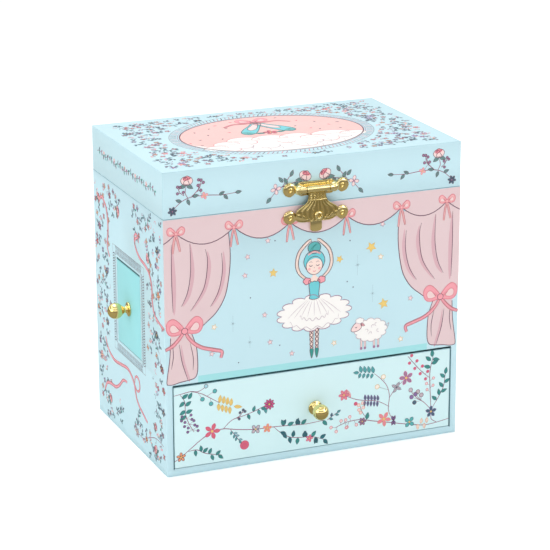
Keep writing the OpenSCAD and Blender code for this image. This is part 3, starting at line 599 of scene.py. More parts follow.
sides = {  # the corner where each face's millimetres start, then its ways across and up
    "front": ((-halfW, -halfD, 0), (1, 0, 0), (0, 0, 1)), "left": ((-halfW, halfD, 0), (0, -1, 0), (0, 0, 1)),
    "right": ((halfW, -halfD, 0), (0, 1, 0), (0, 0, 1)), "back": ((halfW, halfD, 0), (-1, 0, 0), (0, 0, 1)),
    "top": ((-halfW, -halfD, lidHigh.z), (1, 0, 0), (0, 1, 0)),
}
frontPanel = newPanel("case_front_print", "case", "front")
lidFront = newPanel("lid_front_print", "lid", "front")
drawerPanel = newPanel("drawer_print", "front_drawer", "front")
curtainPanel = newPanel("front_curtains", "case", "front")
leftPanel = newPanel("case_left_print", "case", "left")
lidLeft = newPanel("lid_left_print", "lid", "left")
rightPanel = newPanel("case_right_print", "case", "right")
lidRight = newPanel("lid_right_print", "lid", "right")
backPanel = newPanel("case_back_print", "case", "back")
lidBack = newPanel("lid_back_print", "lid", "back")
lidTop = newPanel("lid_top_print", "lid", "top")
ovalPanel = newPanel("lid_oval", "lid", "top")

# front: curtains

curtain = {
    "nodes": [(0, 128), (7, 133), (39, 133), (70.5, 132), (103, 132), (135, 133), (162, 133.5), (170, 128)],
    "sag": 7.2, "top": seamZ - skin["seam"] - 0.2,
}
inkMade["curtain"] = curtainPaper


def scallops():
    # the valance's lower edge, hanging between its bows
    edge = []
    for (u0, v0), (u1, v1) in zip(curtain["nodes"], curtain["nodes"][1:]):
        sag = curtain["sag"] * min(1, (u1 - u0) / 30) ** 1.2
        if u1 - u0 < 10:
            sag = 0.4
        for k in range(10):
            t = k / 10
            edge.append((u0 + (u1 - u0) * t, v0 + (v1 - v0) * t - sag * 4 * t * (1 - t)))
    return edge + [curtain["nodes"][-1]]


drape = {  # the left curtain in its panel's millimetres; the right one is its mirror image
    "upper": [(36, 130.5), (36.8, 121), (36.6, 112), (35.2, 102), (33.2, 95), (29, 88.3), (23.5, 83.5),
              (19.5, 80.5)],
    "gathered": [(15, 79), (11, 78.6), (5.5, 80.4), (1.6, 83), (0, 84)],
    "lower": [(15, 78), (17.3, 71), (18, 64), (17.9, 57), (16.4, 53.6), (12.5, 52.6), (8, 52.1), (4, 51.3),
              (1, 51.6)],
    "inner": [(3.2, 72), (2.2, 63), (0.8, 54.5)],
    "folds": [[(4.5, 127.5), (4.3, 110), (4.8, 91)], [(14.6, 127), (14.8, 112), (13, 101), (9.5, 93.5)],
              [(23, 123), (24.2, 116), (22, 102), (14.5, 90.5)],
              [(32, 120), (32.4, 110), (30, 99), (25.5, 91.5)], [(8, 73), (9.4, 63), (12.4, 53)],
              [(4.2, 74), (4.6, 67), (3.4, 60)], [(14, 73), (15.6, 65), (15.4, 58)]],
    "shades": [[(4.8, 127), (6.6, 110), (6.2, 92), (4.9, 91), (4.4, 108)],
               [(14.9, 127), (17, 112), (14.6, 99), (10, 93.5), (14.2, 104), (14.7, 114)],
               [(24.2, 122), (26.2, 113), (23, 100), (15, 90.5), (21.6, 102), (24, 113)],
               [(33, 121), (34.4, 110), (31.4, 98), (26, 91.5), (30.4, 101), (32.4, 111)],
               [(9, 73), (11.2, 62), (13.8, 53), (12.5, 53), (9.6, 63)]],
    "tie": (11, 80),
}


def drapeArt(flip, way):
    def line(weight, points, taper):
        stroke(frontPanel, "line", 3, weight, [flip(p) for p in smoothLine(points)], taper=taper)

    upper = [(0, 134), (7.4, 134), (14, 131)] + smoothLine(drape["upper"]) + drape["gathered"]
    lower = [(3.2, 78)] + smoothLine(drape["inner"])[:-1] + smoothLine(drape["lower"])[::-1]
    for shape in (upper, lower):
        fill(curtainPanel, "curtain", 0, [flip(p) for p in shape])
    line(0.42, drape["upper"], 0.2)
    line(0.4, drape["lower"], 0.2)
    line(0.36, [(3.2, 77), (2.6, 66), (0.9, 54.5), (1, 51.6)], 0)
    for fold in drape["folds"]:
        line(0.34, fold, 0.6)
    for shade in drape["shades"]:
        fill(frontPanel, "foldPink", 1, [flip(p) for p in smoothLine(shade, True, 4)])
    tails = [[(0, 0), (way * 3.4, -5.6), (way * 9, -10), (way * 16, -12.4), (way * 20.6, -14),
              (way * 20, -17.4)],
             [(0, 0), (-way * 3.4, -4.4), (-way * 7, -7.6), (-way * 10.8, -9.2)]]
    bow(frontPanel, flip(drape["tie"]), 9.2, tails, 1.5, "ribbonPink", "coral", 4)


def frontArt():
    scallop = scallops()
    fill(curtainPanel, "curtain", 1, [(0, curtain["top"])] + scallop + [(width, curtain["top"])])
    stroke(frontPanel, "line", 3, 0.42, scallop)
    drapeArt(lambda p: p, 1)
    drapeArt(lambda p: (width - p[0] - 0.6 * (p[1] < 80), p[1]), -1)
    strip = [(18.2, 50.2), (151.4, 50.2), (151.4, 54.4), (18.2, 54.4)]
    fill(frontPanel, "stage", 0, strip)
    reveal = [(3.9, 3.6), (3.9, 50.2), (166.1, 50.2), (166.1, 3.6)]  # painted shade: a dark teal line round the drawer's opening stands in for the shadow in its gap
    stroke(frontPanel, "gapTeal", 4, 0.34, reveal)
    # painted shade: a heavier dark teal line along the top of the opening, where the gap's shadow is deepest
    stroke(frontPanel, "gapTeal", 4, 0.62, [(4, 50.35), (166, 50.35)])
    small = [[(0, 0), (-1.2, -5), (-1.8, -10.6)], [(0, 0), (1.2, -5), (2.2, -9.8)]]
    for u, v in ((7, 133), (39, 133), (70.5, 132), (103, 132), (135, 133), (162, 133.5)):
        bow(frontPanel, (u, v), 4.4, small, 0.7, "rose", "coral", 4)
    for at, size in (((61, 105.5), 2.5), ((117.5, 113), 3.1), ((125, 80.5), 3.1), ((99, 108.5), 2.1)):
        star(frontPanel, at, size, "gold", "ochre", 90 + at[0] * 7)
    for at in ((27.5, 80), (96, 62), (123, 107), (135.5, 59)):
        star(frontPanel, at, 1.7, "cream", "ochre", 90 + at[0] * 7)
    for at in ((46.5, 116), (45, 106), (56, 83), (59, 67.5), (71.5, 59.5), (26, 65.5), (58, 123.5),
               (124, 125), (141, 81.5)):
        star(frontPanel, at, 1.6, "blush", "mauve", 90 + at[0] * 5)
    for at, tall, wide in (((38, 80.5), 4.4, 1.5), ((47.5, 69), 3.2, 1.5), ((109.5, 104), 5.6, 1.6),
                           ((118.5, 87), 4.8, 1.5)):
        sparkle(frontPanel, at, tall, wide)
    for at in ((48, 93.5), (62, 123), (41, 58.5), (103.5, 95.5), (105, 118), (64.5, 65), (107, 92)):
        dot(frontPanel, at, 0.4, "greyLine", 2, steps=8)


def cloudEdge(centre, radii, bumps, depthOf, start=0.0):
    # a puffy closed outline: a row of round bumps along an ellipse
    found = []
    for k in range(bumps * 6):
        t = k / (bumps * 6)
        grow = 1 + depthOf * (abs(math.sin(t * bumps * math.pi)) ** 0.6 - 0.5)
        angle = start + t * math.tau
        found.append((centre[0] + radii[0] * grow * math.cos(angle),
                      centre[1] + radii[1] * grow * math.sin(angle)))
    return found


def dancerPrint(panel, at):
    # a plain little ballet dancer, both arms raised, eyes closed; at is the middle of her waist
    def place(points, side=1):
        return [(at[0] + side * u, at[1] + v) for u, v in points]

    def line(colour, layer, weight, points, side=1, taper=0.0):
        stroke(panel, colour, layer, weight, smoothLine(place(points, side)), taper=taper)

    def shape(colour, layer, points, weight, side=1, steps=3):
        outlined(panel, colour, layer, smoothLine(place(points, side), True, steps), "plum", weight)

    for side in (-1, 1):  # legs and shoes
        leg = place([(0.3, -17), (2.9, -17), (2.3, -30.5), (0.7, -30.5)], side)
        outlined(panel, "skin", 1, leg, "plum", 0.3)
        shape("teal", 3, [(0.5, -30), (2.5, -30), (2.2, -33), (1.5, -35.2), (0.7, -33)], 0.22, side)
    for k in range(5):  # laces
        low = -29.6 + k * 2.5
        for side in (-1, 1):
            line("plum", 4, 0.34, [(0.5, low), (2.7, low + 2.5)], side)
            line("plum", 4, 0.34, [(2.5, low), (0.5, low + 2.5)], side)
    skirt = place([(0, -9.8)])[0]
    outlined(panel, "white", 5, cloudEdge(skirt, (20.2, 9.4), 15, 0.16, 0.2), "mauve", 0.36)
    for row, rise in ((0.72, -2.4), (0.42, -0.2)):  # the upper layers of net
        net = [(20 * row * math.cos(a), -9.8 + rise - 8.4 * row * abs(math.sin(a)) + 0.8 * math.sin(a * 14))
               for a in (math.pi * (0.04 + 0.92 * k / 44) for k in range(45))]
        stroke(panel, "stone", 6, 0.3, place(net), taper=0.6)
    for k in range(-4, 5):
        line("stone", 6, 0.22, [(k * 1.1, -2.4), (k * 2.6, -7), (k * 3.9, -11.6)], taper=0.8)
    for side in (-1, 1):  # arms raised in a ring over the head
        arm = [(3.6, 8.6), (8.2, 12.6), (10, 18), (8.4, 24.6), (3.6, 29.6), (1.6, 30.4)]
        line("plum", 1, 1.95, arm, side, 0.3)
        line("skin", 2, 1.4, arm, side, 0.3)
    fill(panel, "skin", 3, place([(-2.6, 9.4), (-1, 10.4), (-0.9, 12), (0.9, 12), (1, 10.4), (2.6, 9.4),
                                  (2.4, 7.4), (-2.4, 7.4)]))
    shape("turquoise", 6, [(-3.1, 8.4), (-1.4, 7.4), (0, 7.8), (1.4, 7.4), (3.1, 8.4), (3.0, 4.5), (2.5, 0),
                           (2.9, -1.6), (0, -2.4), (-2.9, -1.6), (-2.5, 0), (-3.0, 4.5)], 0.32)
    for side in (-1, 1):
        puff = cloudEdge(place([(4.2, 8.2)], side)[0], (2.1, 1.8), 5, 0.2)
        outlined(panel, "ribbonPink", 7, puff, "plum", 0.28)
    shape("turquoise", 3, [(-5.6, 16.6), (-5.9, 20), (-3.9, 23.4), (0, 24.6), (3.9, 23.4), (5.9, 20),
                           (5.6, 16.6), (3, 13.4), (-3, 13.4)], 0.3, steps=4)
    face = place(ellipse((0, 16.4), (4.7, 5.0), 28))
    fill(panel, "skin", 5, face)
    fringe = [(-4.9, 17), (-4.4, 20.4), (0, 22.6), (4.4, 20.4), (4.9, 17), (3.2, 19.4), (0.3, 20.4),
              (-3, 19.2)]
    fill(panel, "turquoise", 6, smoothLine(place(fringe), True, 4))
    stroke(panel, "plum", 7, 0.28, face, True)
    outlined(panel, "sea", 2, place(ellipse((0, 26.2), (3.7, 3.3), 20)), "plum", 0.3)  # the bun
    for bend in (1.2, 2.4):
        line("teal", 3, 0.26, [(-bend, 24.4), (-bend * 0.4, 26.6), (bend, 28.2)], taper=0.5)
    line("rose", 7, 0.8, [(-3.6, 22.6), (0, 24), (3.6, 22.6)])
    for side in (-1, 1):  # closed eyes, brows, cheeks
        line("plum", 6, 0.34, [(1.1, 16.6), (2, 16.1), (2.9, 16.7)], side)
        line("line", 6, 0.2, [(1.1, 18.2), (2, 18.6), (2.8, 18.3)], side)
        dot(panel, place([(2.9, 14.6)], side)[0], 0.8, "rose", 6)
    line("coral", 6, 0.34, [(-0.8, 13.5), (0, 13.1), (0.8, 13.5)])
    line("line", 6, 0.2, [(0, 15.4), (-0.2, 14.9)])


def lambPrint(panel, at):
    # a plain standing lamb seen from the side, looking left
    def place(points):
        return [(at[0] + u, at[1] + v) for u, v in points]

    def line(colour, layer, weight, points):
        stroke(panel, colour, layer, weight, smoothLine(place(points)))

    for k in (-5, -2.8, 2.6, 5):
        leg = place([(k - 0.6, -4), (k + 0.6, -4), (k + 0.5, -9.6), (k - 0.5, -9.6)])
        outlined(panel, "blush", 1, leg, "plum", 0.26)
        dot(panel, place([(k, -9.9)])[0], 0.8, "mauve", 3)
    outlined(panel, "white", 3, cloudEdge(place([(0.6, 0)])[0], (9.2, 6.2), 12, 0.14, 0.3), "stone", 0.36)
    for u, v in ((2, 1.8), (5.2, -0.6), (0.4, -2.2), (4, 2.9), (-2, -0.4)):
        curl = turned([(-1, 0), (-0.4, 0.9), (0.6, 0.7), (0.5, -0.1)], 20 * u, place([(u, v)])[0], 1.1)
        stroke(panel, "stone", 4, 0.26, smoothLine(curl), taper=0.5)
    line("stone", 4, 0.3, [(9.4, 1.6), (11.2, 2.6), (10.8, 0.6)])
    head = [(-5.6, 5.4), (-8.8, 4.6), (-11, 1.6), (-10.2, 0.2), (-7.2, 0.4), (-5, 2.2)]
    outlined(panel, "blush", 5, smoothLine(place(head), True, 4), "plum", 0.28)
    leaf(panel, place([(-5.6, 4.2)])[0], -28, "rose", 3.0, 1.5, 6, "plum")  # the ear
    outlined(panel, "white", 7, cloudEdge(place([(-6, 6)])[0], (2.3, 1.5), 6, 0.2), "stone", 0.26)
    line("plum", 6, 0.3, [(-8.6, 2.6), (-8.1, 2.2), (-7.5, 2.6)])


def lidFrontArt():
    # a corner sprig and its mirror image, then half of the middle spray and its mirror image
    sprayMiddle = 84.8  # mm from the left corner, where the clasp is
    for part, way, mirror in (("corner", 1, 0), ("corner", -1, width),
                              ("middle", 1, 0), ("middle", -1, 2 * sprayMiddle)):
        def at(*points):
            return [(u if way > 0 else mirror - u, v) for u, v in points]

        def lean(angle):
            return angle if way > 0 else 180 - angle

        def spray(places, long, wide):
            leaves(lidFront, [(*at((u, v))[0], lean(a)) for u, v, a in places], "sage", long, wide, "plum")

        def bloom(place, radius, colour, heart, petals, turn, edge):
            blossom(lidFront, at(place)[0], radius, colour, heart, petals, lean(turn), edge)

        if part == "corner":
            stem(lidFront, at((5, 145), (10, 149.4), (16, 151.6), (25, 151.6), (33, 151), (42, 151.6)))
            stem(lidFront, at((14, 151), (12.5, 154), (13, 157)))
            stem(lidFront, at((16, 151.8), (19.4, 155), (20.6, 158.4)))
            stem(lidFront, at((22, 151.6), (20, 155)), width=0.24)
            rose(lidFront, at((13.2, 158.4))[0], 3.5, lean(84), body="blush", sepal="sage")
            berrySprig(lidFront, at((12, 152.6), (9.6, 154.6), (8.4, 157.6)), "mauve", 3, 0.7, 1.7)
            berrySprig(lidFront, at((19, 154), (20.8, 157), (21.2, 160)), "mauve", 4, 0.75, 1.8)
            spray([(10.5, 149.6, 160), (13.6, 150.6, -70), (16.4, 151.7, 10), (31, 151, 28), (33.6, 151, -50),
                   (40, 151.4, 6)], 3.5, 1.7)
            bloom((23, 151.6), 2.0, "rose", "gold", 4, 20, "coral")
            bloom((5.4, 145), 2.5, "slate", "mauve", 6, 10, "plum")
        else:
            stem(lidFront, at((59.6, 146), (64, 150.6), (70, 152.6), (76, 154)))
            stem(lidFront, at((66, 151.4), (68.6, 154.6), (71.4, 158)))
            rose(lidFront, at((78.2, 154.4))[0], 3.7, lean(62), body="blush", sepal="sage")
            spray([(59.8, 146.4, 228), (66.6, 154, 130), (70.8, 156.6, 66), (73, 153.4, -35), (69, 153, 120)],
                  3.8, 1.9)
            bloom((62.6, 150.6), 3.0, "blush", "mauve", 4, 10, "mauve")


def drawerArt():
    d = drawerPanel

    def sprays(table, edge="slate"):
        for colour, long, wide, places in table:
            leaves(d, places, colour, long, wide, edge)

    def pairs(start, step, count, colours, sizes, angles, edge, under=(0, 0)):
        # leaflets above and below a straight stalk
        for k in range(count):
            for n in (0, 1):
                at = (start[0] + n * under[0] + k * step[0], start[1] + n * under[1] + k * step[1])
                leaf(d, at, angles[n], colours, sizes[n][0], sizes[n][1], 2, edge)

    # top left branch with pale loops
    stem(d, [(4.4, 45), (9, 45.6), (14, 46.2), (18, 45.6), (22, 47.4)])
    stem(d, [(14, 46.2), (19.4, 44.4), (24, 41.6), (30, 37.6)])
    dot(d, (22.5, 48), 1.1, "sky", 2, "line")
    for foot, tip in (((23, 42.4), (27.4, 44.6)), ((18, 45), (20.4, 41)), ((25, 40.8), (25.2, 37.8))):
        twig(d, foot, tip, 1.15, "sea", "slate", 0.24)
    pairs((30, 37.6), (2.1, -0.9), 4, "gold", ((4.4, 1.9), (4.2, 1.8)), (82, -88), "ochre", (-0.6, -0.3))
    leaf(d, (38.2, 34.4), -12, "gold", 4.6, 1.9, 2, "ochre")
    # left stem with teal leaves and berries
    stem(d, [(8, 45), (10.4, 41), (10.8, 34), (12.6, 28.6), (15.4, 23.4)])
    sprays([("teal", 4.0, 2.0, [(9, 43, 30), (10.4, 41, -140), (10.8, 38.6, 34), (10.9, 36, -150),
                                (11, 34.6, 20), (11.2, 33, 205), (12.6, 42.2, 60)])])
    for foot in ((11.4, 31.4), (13, 28), (14.8, 24.6)):
        for angle in (150, 195, 35, -15):
            twig(d, foot, stepFrom(foot, angle, 3.0), 0.72, "violet", "plum", steps=8)
    # main vine
    stem(d, [(4.2, 8), (9, 11), (14, 14.6), (20, 18.8), (25.5, 21.6), (32, 22.6), (40, 21), (50, 19.6),
             (60, 19.4), (70, 18.8), (80, 18.2), (90, 18.8)], width=0.4)
    blossom(d, (8, 10.2), 2.7, "orange", "gold", 5, 20, "plum")
    blossom(d, (25.6, 22.2), 4.6, "red", "gold", 5, 70, "magenta", fat=0.6)
    stem(d, [(12, 12.8), (17, 13), (22, 10.2), (31, 8)])
    sprays([("teal", 3.6, 1.8, [(16, 13, -85), (19.4, 11.6, 95), (20.4, 11, 40), (23.6, 9.6, 64),
                                (25, 9, -70), (27.6, 8.4, 40), (29, 8.2, -40)])])
    stem(d, [(32, 22.6), (37, 26.8), (44, 28.4), (50, 30), (56, 32.2)])
    blossom(d, (58.4, 32.6), 3.2, "magenta", "gold", 9, 0, "plum", fat=0.7)
    berrySprig(d, [(39, 27.4), (42, 29), (43.4, 31.6)], "slate", 3, 0.7, 1.8)
    sprays([("teal", 3.4, 1.7, [(49, 29.8, 70), (46, 28.8, -70)]), ("sea", 3.4, 1.7, [(52, 30.6, -75)]),
            ("teal", 3.4, 1.7, [(53.6, 31.2, -20)]), ("sea", 3.4, 1.7, [(56, 31, -80)])])
    leafSprig(d, [(36, 21.6), (38.4, 18.4), (41, 14.6)], ["sea", "sky"], 6, 2.2, 1.2, edge="slate")
    dot(d, (44, 11.6), 2.5, "red", 2, "magenta", 16)
    stroke(d, "magenta", 4, 0.3, smoothLine([(43, 11.6), (43.8, 12.6), (45, 12), (44.6, 10.6), (43, 10.4),
                                             (42.4, 12)]))
    blossom(d, (50.5, 19.6), 2.9, "stone", "gold", 4, 40, "slate")
    blossom(d, (57.2, 19.2), 2.6, "orange", "gold", 5, 10, "coral")
    # lower middle branch with dark leaves
    stem(d, [(61, 19.2), (65, 15.4), (70, 12.2), (76, 11), (83, 10.4), (91, 7.4)])
    for u, v, angle in ((66, 19.2, 60), (69, 19, 20), (67, 19.2, 115), (74, 18.6, 70), (77, 18.4, 40),
                        (76, 18.4, 120), (68, 14, 150), (66.4, 15, -60), (72, 11.8, 80), (70, 12.2, -80),
                        (75, 11, -100), (78, 10.8, 65), (80, 10.7, 110), (83, 10.4, 50), (85, 9.8, -70),
                        (88, 8.6, 30), (90, 7.8, -50), (86, 9.6, -110), (89.6, 18.6, -50)):
        leaf(d, (u, v), angle, "teal" if int(u) % 2 else "deepTeal", 3.9, 2.1, 2, "slate")
    blossom(d, (81.6, 9.6), 2.2, "coral", "gold", 5, 0, "magenta")
    leafSprig(d, [(92, 18.4), (94.6, 20), (98, 22)], ["sea", "slate"], 3, 2.4, 1.3, edge="slate")
    # right part of the vine
    stem(d, [(97, 13.4), (104, 15.6), (112, 15.8), (120, 13.8), (130, 11.4), (140, 9), (150, 7), (158, 7.4),
             (165.6, 8.6)], width=0.4)
    for *foot, angle, reach in ((97, 13.4, 170, 2.6), (98, 13.8, -100, 2.8), (100, 14.4, 80, 2.4),
                                (103, 15.2, -80, 2.8), (106, 15.8, 100, 2.6), (108, 15.8, -60, 3),
                                (105, 15.5, -110, 3), (102, 15, 60, 2.2)):
        twig(d, tuple(foot), stepFrom(foot, angle, reach), 0.85, "blush", "red", steps=8)
    blossom(d, (113, 14.6), 2.4, "mauve", "gold", 6, 0, "plum")
    blossom(d, (126, 14), 4.3, "coral", "gold", 5, 60, "orange", fat=0.6)
    sprays([("violet", 3, 1.5, [(131.8, 12.4, angle) for angle in (70, 110, -70, -110)])], "plum")
    blossom(d, (141.5, 10), 3.4, "sea", "gold", 4, 50, "slate")
    sprays([("cream", 3.2, 1.6, [(146.6, 8, -88), (148.6, 8, 84), (150.6, 8, -88), (152, 8, 84)])], "orange")
    leaf(d, (115.6, 15.4), 78, "teal", 4.2, 2.2, 2, "slate")
    stem(d, [(115.6, 16), (113, 20), (111.6, 24)], width=0.28)
    for at in ((111, 21.6), (113.6, 22.6), (110.8, 24.4), (113.2, 25.2), (112, 19.8)):
        dot(d, at, 0.9, "blush", 2, "orange", 8)
    # tall branch of the right half
    stem(d, [(133, 11), (130, 15.4), (128.6, 20), (129.2, 27), (127.6, 33), (124, 37.6), (120, 41.2)])
    pairs((119.6, 41.6), (-2.4, 0.4), 4, "sea", ((4.2, 2.0), (3.0, 1.6)), (104, -112), "slate", (-0.6, -0.2))
    leaf(d, (110.8, 43), 172, "sea", 3.4, 1.7, 2, "slate")
    for foot, tip in (((128.6, 30.6), (121.8, 33.4)), ((126, 36), (125.4, 38.6))):
        twig(d, foot, tip, 1.3, "cream", "ochre", 0.24)
    stem(d, [(129, 21), (122, 25), (115, 26.4), (109, 28), (103.4, 30.6)])
    pairs((122.4, 25.2), (-1.9, 0.35), 5, "slate", ((3.4, 1.5), (3.2, 1.4)), (96, -92), "violet",
          (-0.4, -0.2))
    blossom(d, (102, 31.4), 3.2, "coral", "gold", 6, 0, "magenta", fat=0.75)
    leaf(d, (106, 29.6), 118, "rose", 5.6, 1.7, 2, "coral")
    dot(d, (109, 25.4), 1.0, "red", 2, "magenta")
    stem(d, [(129.2, 26), (132.6, 30.6), (137, 34.4)])
    sprays([("stone", 3.4, 1.7, [(133.4, 31.4, angle) for angle in (60, 150, -30, 240)])])
    blossom(d, (139.2, 36), 4.2, "mauve", "gold", 5, 30, "magenta", fat=0.62)
    # bouquet at the right edge
    foot = (154.6, 15.4)
    blossom(d, (154.6, 14.2), 3.4, "slate", "gold", 5, 18, "violet")
    stem(d, [(154.6, 12), (155, 9.6), (158, 7.6)])
    stem(d, [foot, (150, 20.4), (145.6, 23.6), (142, 28)])
    stem(d, [foot, (153.8, 28), (153.6, 38), (155.4, 46)], width=0.4)
    stem(d, [foot, (159, 22), (162, 28), (163, 35)])
    for tip, colour in (((142, 28.6), "stone"), ((142.6, 24.4), "violet"), ((144.4, 21), "slate"),
                        ((146.4, 27), "stone"), ((145, 25.8), "violet"), ((148.6, 24.8), "stone")):
        twig(d, (148.4, 21.6), tip, 1.2, colour, "plum")
    sprays([("teal", 4.2, 2.1, [(154, 44, 140), (154.6, 42, 20), (153.8, 40, 160), (154.8, 46, 90),
                                (155.2, 44.6, -10)]),
            ("teal", 4.0, 1.9, [(159.6, 23, 100), (160.4, 24.8, 20), (161.8, 27.6, 130), (162.4, 30, 30),
                                (162.8, 33, 140), (163, 35, 80), (158, 20.6, 140)])])
    stem(d, [(153.6, 34), (149, 38), (144.4, 43), (140, 48.4)])
    for k in range(8):
        at = (152.4 - k * 1.65, 35 + k * 1.75)
        twig(d, at, stepFrom(at, 40 if k % 2 else 220, 1.9), 0.85, "red", "magenta", steps=8)
    for u, v in ((151.6, 31), (155.6, 29.4), (152, 27.4), (155.8, 33.6)):
        twig(d, (153.8, v - 1.4), (u, v), 0.75, "blush", "red", steps=8)


# sides, back and lid

def garland(panel, start, end, v, gap=3.4):
    # a thin wavy vine with small leaves and buds
    count = int((end - start) / gap)
    line = [(start + (end - start) * k / count, v + 0.9 * math.sin(k * 1.3)) for k in range(count + 1)]
    stroke(panel, "line", 1, 0.26, smoothLine(line, steps=3))
    for k, at in enumerate(line[1:]):
        colours = ("slate", "mauve", "teal", "grey", "plum", "sea")
        leaf(panel, at, 62 - 22 * (k % 3), colours[k % 6], 2.7, 1.2)
        leaf(panel, at, -64 + 20 * (k % 2), colours[(k + 2) % 6], 2.5, 1.2)
        if k % 5 == 2:
            blossom(panel, (at[0] + 1.2, at[1] + 1.5), 1.5, "rose", "gold", 5, k * 20, None)


def leftRibbons(panel):
    for points in (
        [(9, 124), (13, 128.4), (17, 128), (22.6, 123), (24.2, 112), (22, 103), (25.6, 97.4)],
        [(73, 121), (69, 119), (69.4, 115), (75.6, 110.8), (84, 109), (90.4, 106), (94, 100), (94.6, 92),
         (97.4, 86), (104, 83.4), (112.4, 82)],
        [(15, 48), (18, 43.6), (23, 40.6), (31, 38.8), (42, 40), (52, 41), (58, 39), (62.6, 35.4), (65.6, 29),
         (70, 25.4), (76.6, 22.8), (83, 20.4)],
        [(12, 15.6), (15.6, 20.6), (22, 22.6), (31, 23.4), (38, 27), (44, 31.6), (50.6, 32.6)],
    ):
        band(panel, points, 1.3, "ribbonPink", "coral", 4)
    for at, radius, start, step, count, wide in (((67.6, 37.2), 4.1, -150, 20, 18, 0.9),
                                                 ((71, 119), 3.4, -10, 24, 11, 0.8)):  # loops of the ribbon
        ring = [stepFrom(at, start + step * k, radius) for k in range(count)]
        band(panel, ring, wide, "ribbonPink", "coral", 4)


sideBlooms = {
    "roses": [((40, 127), 3.0, 20), ((90, 114.6), 3.0, 200), ((97, 8.6), 3.0, 150), ((20.6, 12.6), 2.8, 40),
              ((8, 126), 2.8, 60), ((95, 22), 2.4, 30)],
    "flowers": [((10, 111), 2.8, "mauve", 5), ((20, 87), 2.6, "slate", 4), ((5, 101), 2.2, "red", 5),
                ((19, 58), 2.6, "grey", 5), ((8, 35), 3.0, "rose", 6), ((6, 43), 2.0, "violet", 4),
                ((107, 59), 2.6, "plum", 5), ((100, 75), 2.6, "slate", 6), ((109, 35), 2.4, "slate", 4),
                ((104, 98), 2.6, "orange", 5), ((66, 9), 3.0, "stone", 6), ((81, 10), 2.0, "orange", 5),
                ((28, 133), 2.4, "mauve", 5), ((103, 122), 2.6, "slate", 5), ((110, 47), 2.2, "red", 4)],
    "sprigs": [[(66, 138), (72, 133), (78, 128)], [(84, 128), (89, 133), (93, 138)],
               [(98, 93), (103, 100), (104, 107)], [(104, 66), (98, 70), (96, 76)],
               [(64, 12), (68, 17), (70, 22)], [(30, 7), (36, 11), (42, 14)], [(8, 77), (14, 81), (20, 79)],
               [(4, 60), (8, 66), (10, 73)], [(100, 33), (104, 28), (105, 20)]],
}


def sideFlowers(panel, flip):
    # roses, open flowers and leafy tips over the small filler sprigs
    for at, size, angle in sideBlooms["roses"]:
        rose(panel, flip(at), size, angle, 5)
    for at, radius, colour, petals in sideBlooms["flowers"]:
        blossom(panel, flip(at), radius, colour, "gold", petals, at[0] * 9, "plum", 2)
    for points in sideBlooms["sprigs"]:
        leafSprig(panel, [flip(p) for p in points], ("slate", "teal", "grey"), 7, 2.7, 1.3, edge=None)
    stem(panel, [flip(p) for p in ((66, 9), (76, 8.6), (84, 12), (96, 16), (108, 15.6))])


def sideArt(panel, lidPanel, flip, window):
    garland(lidPanel, 9, depth - 12, 153.6)
    if window:
        leftRibbons(panel)
        (left, low), (right, high) = window

        def around(grow):
            return [(left - grow, low - grow), (left - grow, high + grow), (right + grow, high + grow),
                    (right + grow, low - grow)]

        for grow in (1.9, 6.3):  # a stitched frame between two fine lines
            stroke(panel, "hatch", 1, 0.24, around(grow), True)
        # painted shade: a dark teal line along the top of the side drawer's window stands in for the shadow in its
        # gap
        stroke(panel, "gapTeal", 3, 0.7, [(left + 0.2, high + 0.1), (right - 0.2, high + 0.1)])
        hatchBorder(panel, around(2.1), 1.5, 4.4, ("slateViolet", "plum", "hatch"))
    sideFlowers(panel, flip)

    def allowed(u, v):
        u = flip((u, v))[0]
        border = u < 26 - 8 * (28 < v < 50) or u > 86 + 8 * (v < 60)
        return border or v < 17 and not 44 < u < 58 or v > 119 and not 46 < u < 64
    scatter(panel, spotsIn((3.4, 4), (depth - 3.4, 137.4), 6.0, allowed), 1.15, "greyLine")


def bigBow(panel, at, size, weight, tail):
    bow(panel, at, size, [[(side * u, v) for u, v in tail] for side in (-1, 1)], weight)


def backArt():
    # a garland frame with a large bow and scattered stars
    garland(lidBack, 10, width - 12, 153.6)

    def allowed(u, v):
        hinge = v > 126 and abs(abs(u - width / 2) - 50) < 13
        return (u < 26 or u > width - 26 or v < 20 or v > 121) and not hinge
    scatter(backPanel, spotsIn((4, 4), (width - 4, 137), 5.8, allowed), 1.08)
    for u, v, size, angle in ((16, 16, 3.2, 40), (width - 16, 16, 3.2, 140), (16, 122, 3.0, -40),
                              (width - 16, 122, 3.0, 220)):
        rose(backPanel, (u, v), size, angle, 5)
    bigBow(backPanel, (104, 76), 11, 1.8, [(0, 0), (4, -8), (9, -15), (18, -19), (26, -16)])
    for k in range(26):
        at = (32 + (k * 37) % 108, 28 + (k * 53) % 88)
        if abs(at[0] - 104) > 18 or abs(at[1] - 72) > 20:
            star(backPanel, at, 1.5 + (k % 3) * 0.6, ("gold", "cream", "blush")[k % 3],
                 ("ochre", "ochre", "mauve")[k % 3], k * 17)


slipperLines = {
    "sole": [(0, 0), (0.8, 2.1), (3.5, 3.2), (8, 3.1), (13, 2.3), (17, 2.0), (18.4, 0.4), (17.6, -1.6),
             (13, -2.1), (8, -2.6), (3.5, -2.6), (0.8, -1.6)],
    "mouth": [(6.6, 0.3), (9, 1.9), (13, 1.5), (16.8, 1.1), (17, -0.4), (13, -1.2), (9, -1.3)],
    "toeCap": [(0.2, 0), (0.9, 1.9), (3.2, 2.8), (3.8, 0.4), (3.0, -2.2), (0.9, -1.4)],
    "heels": [(16.5, 1.6), (16.5, -1.4)],
}


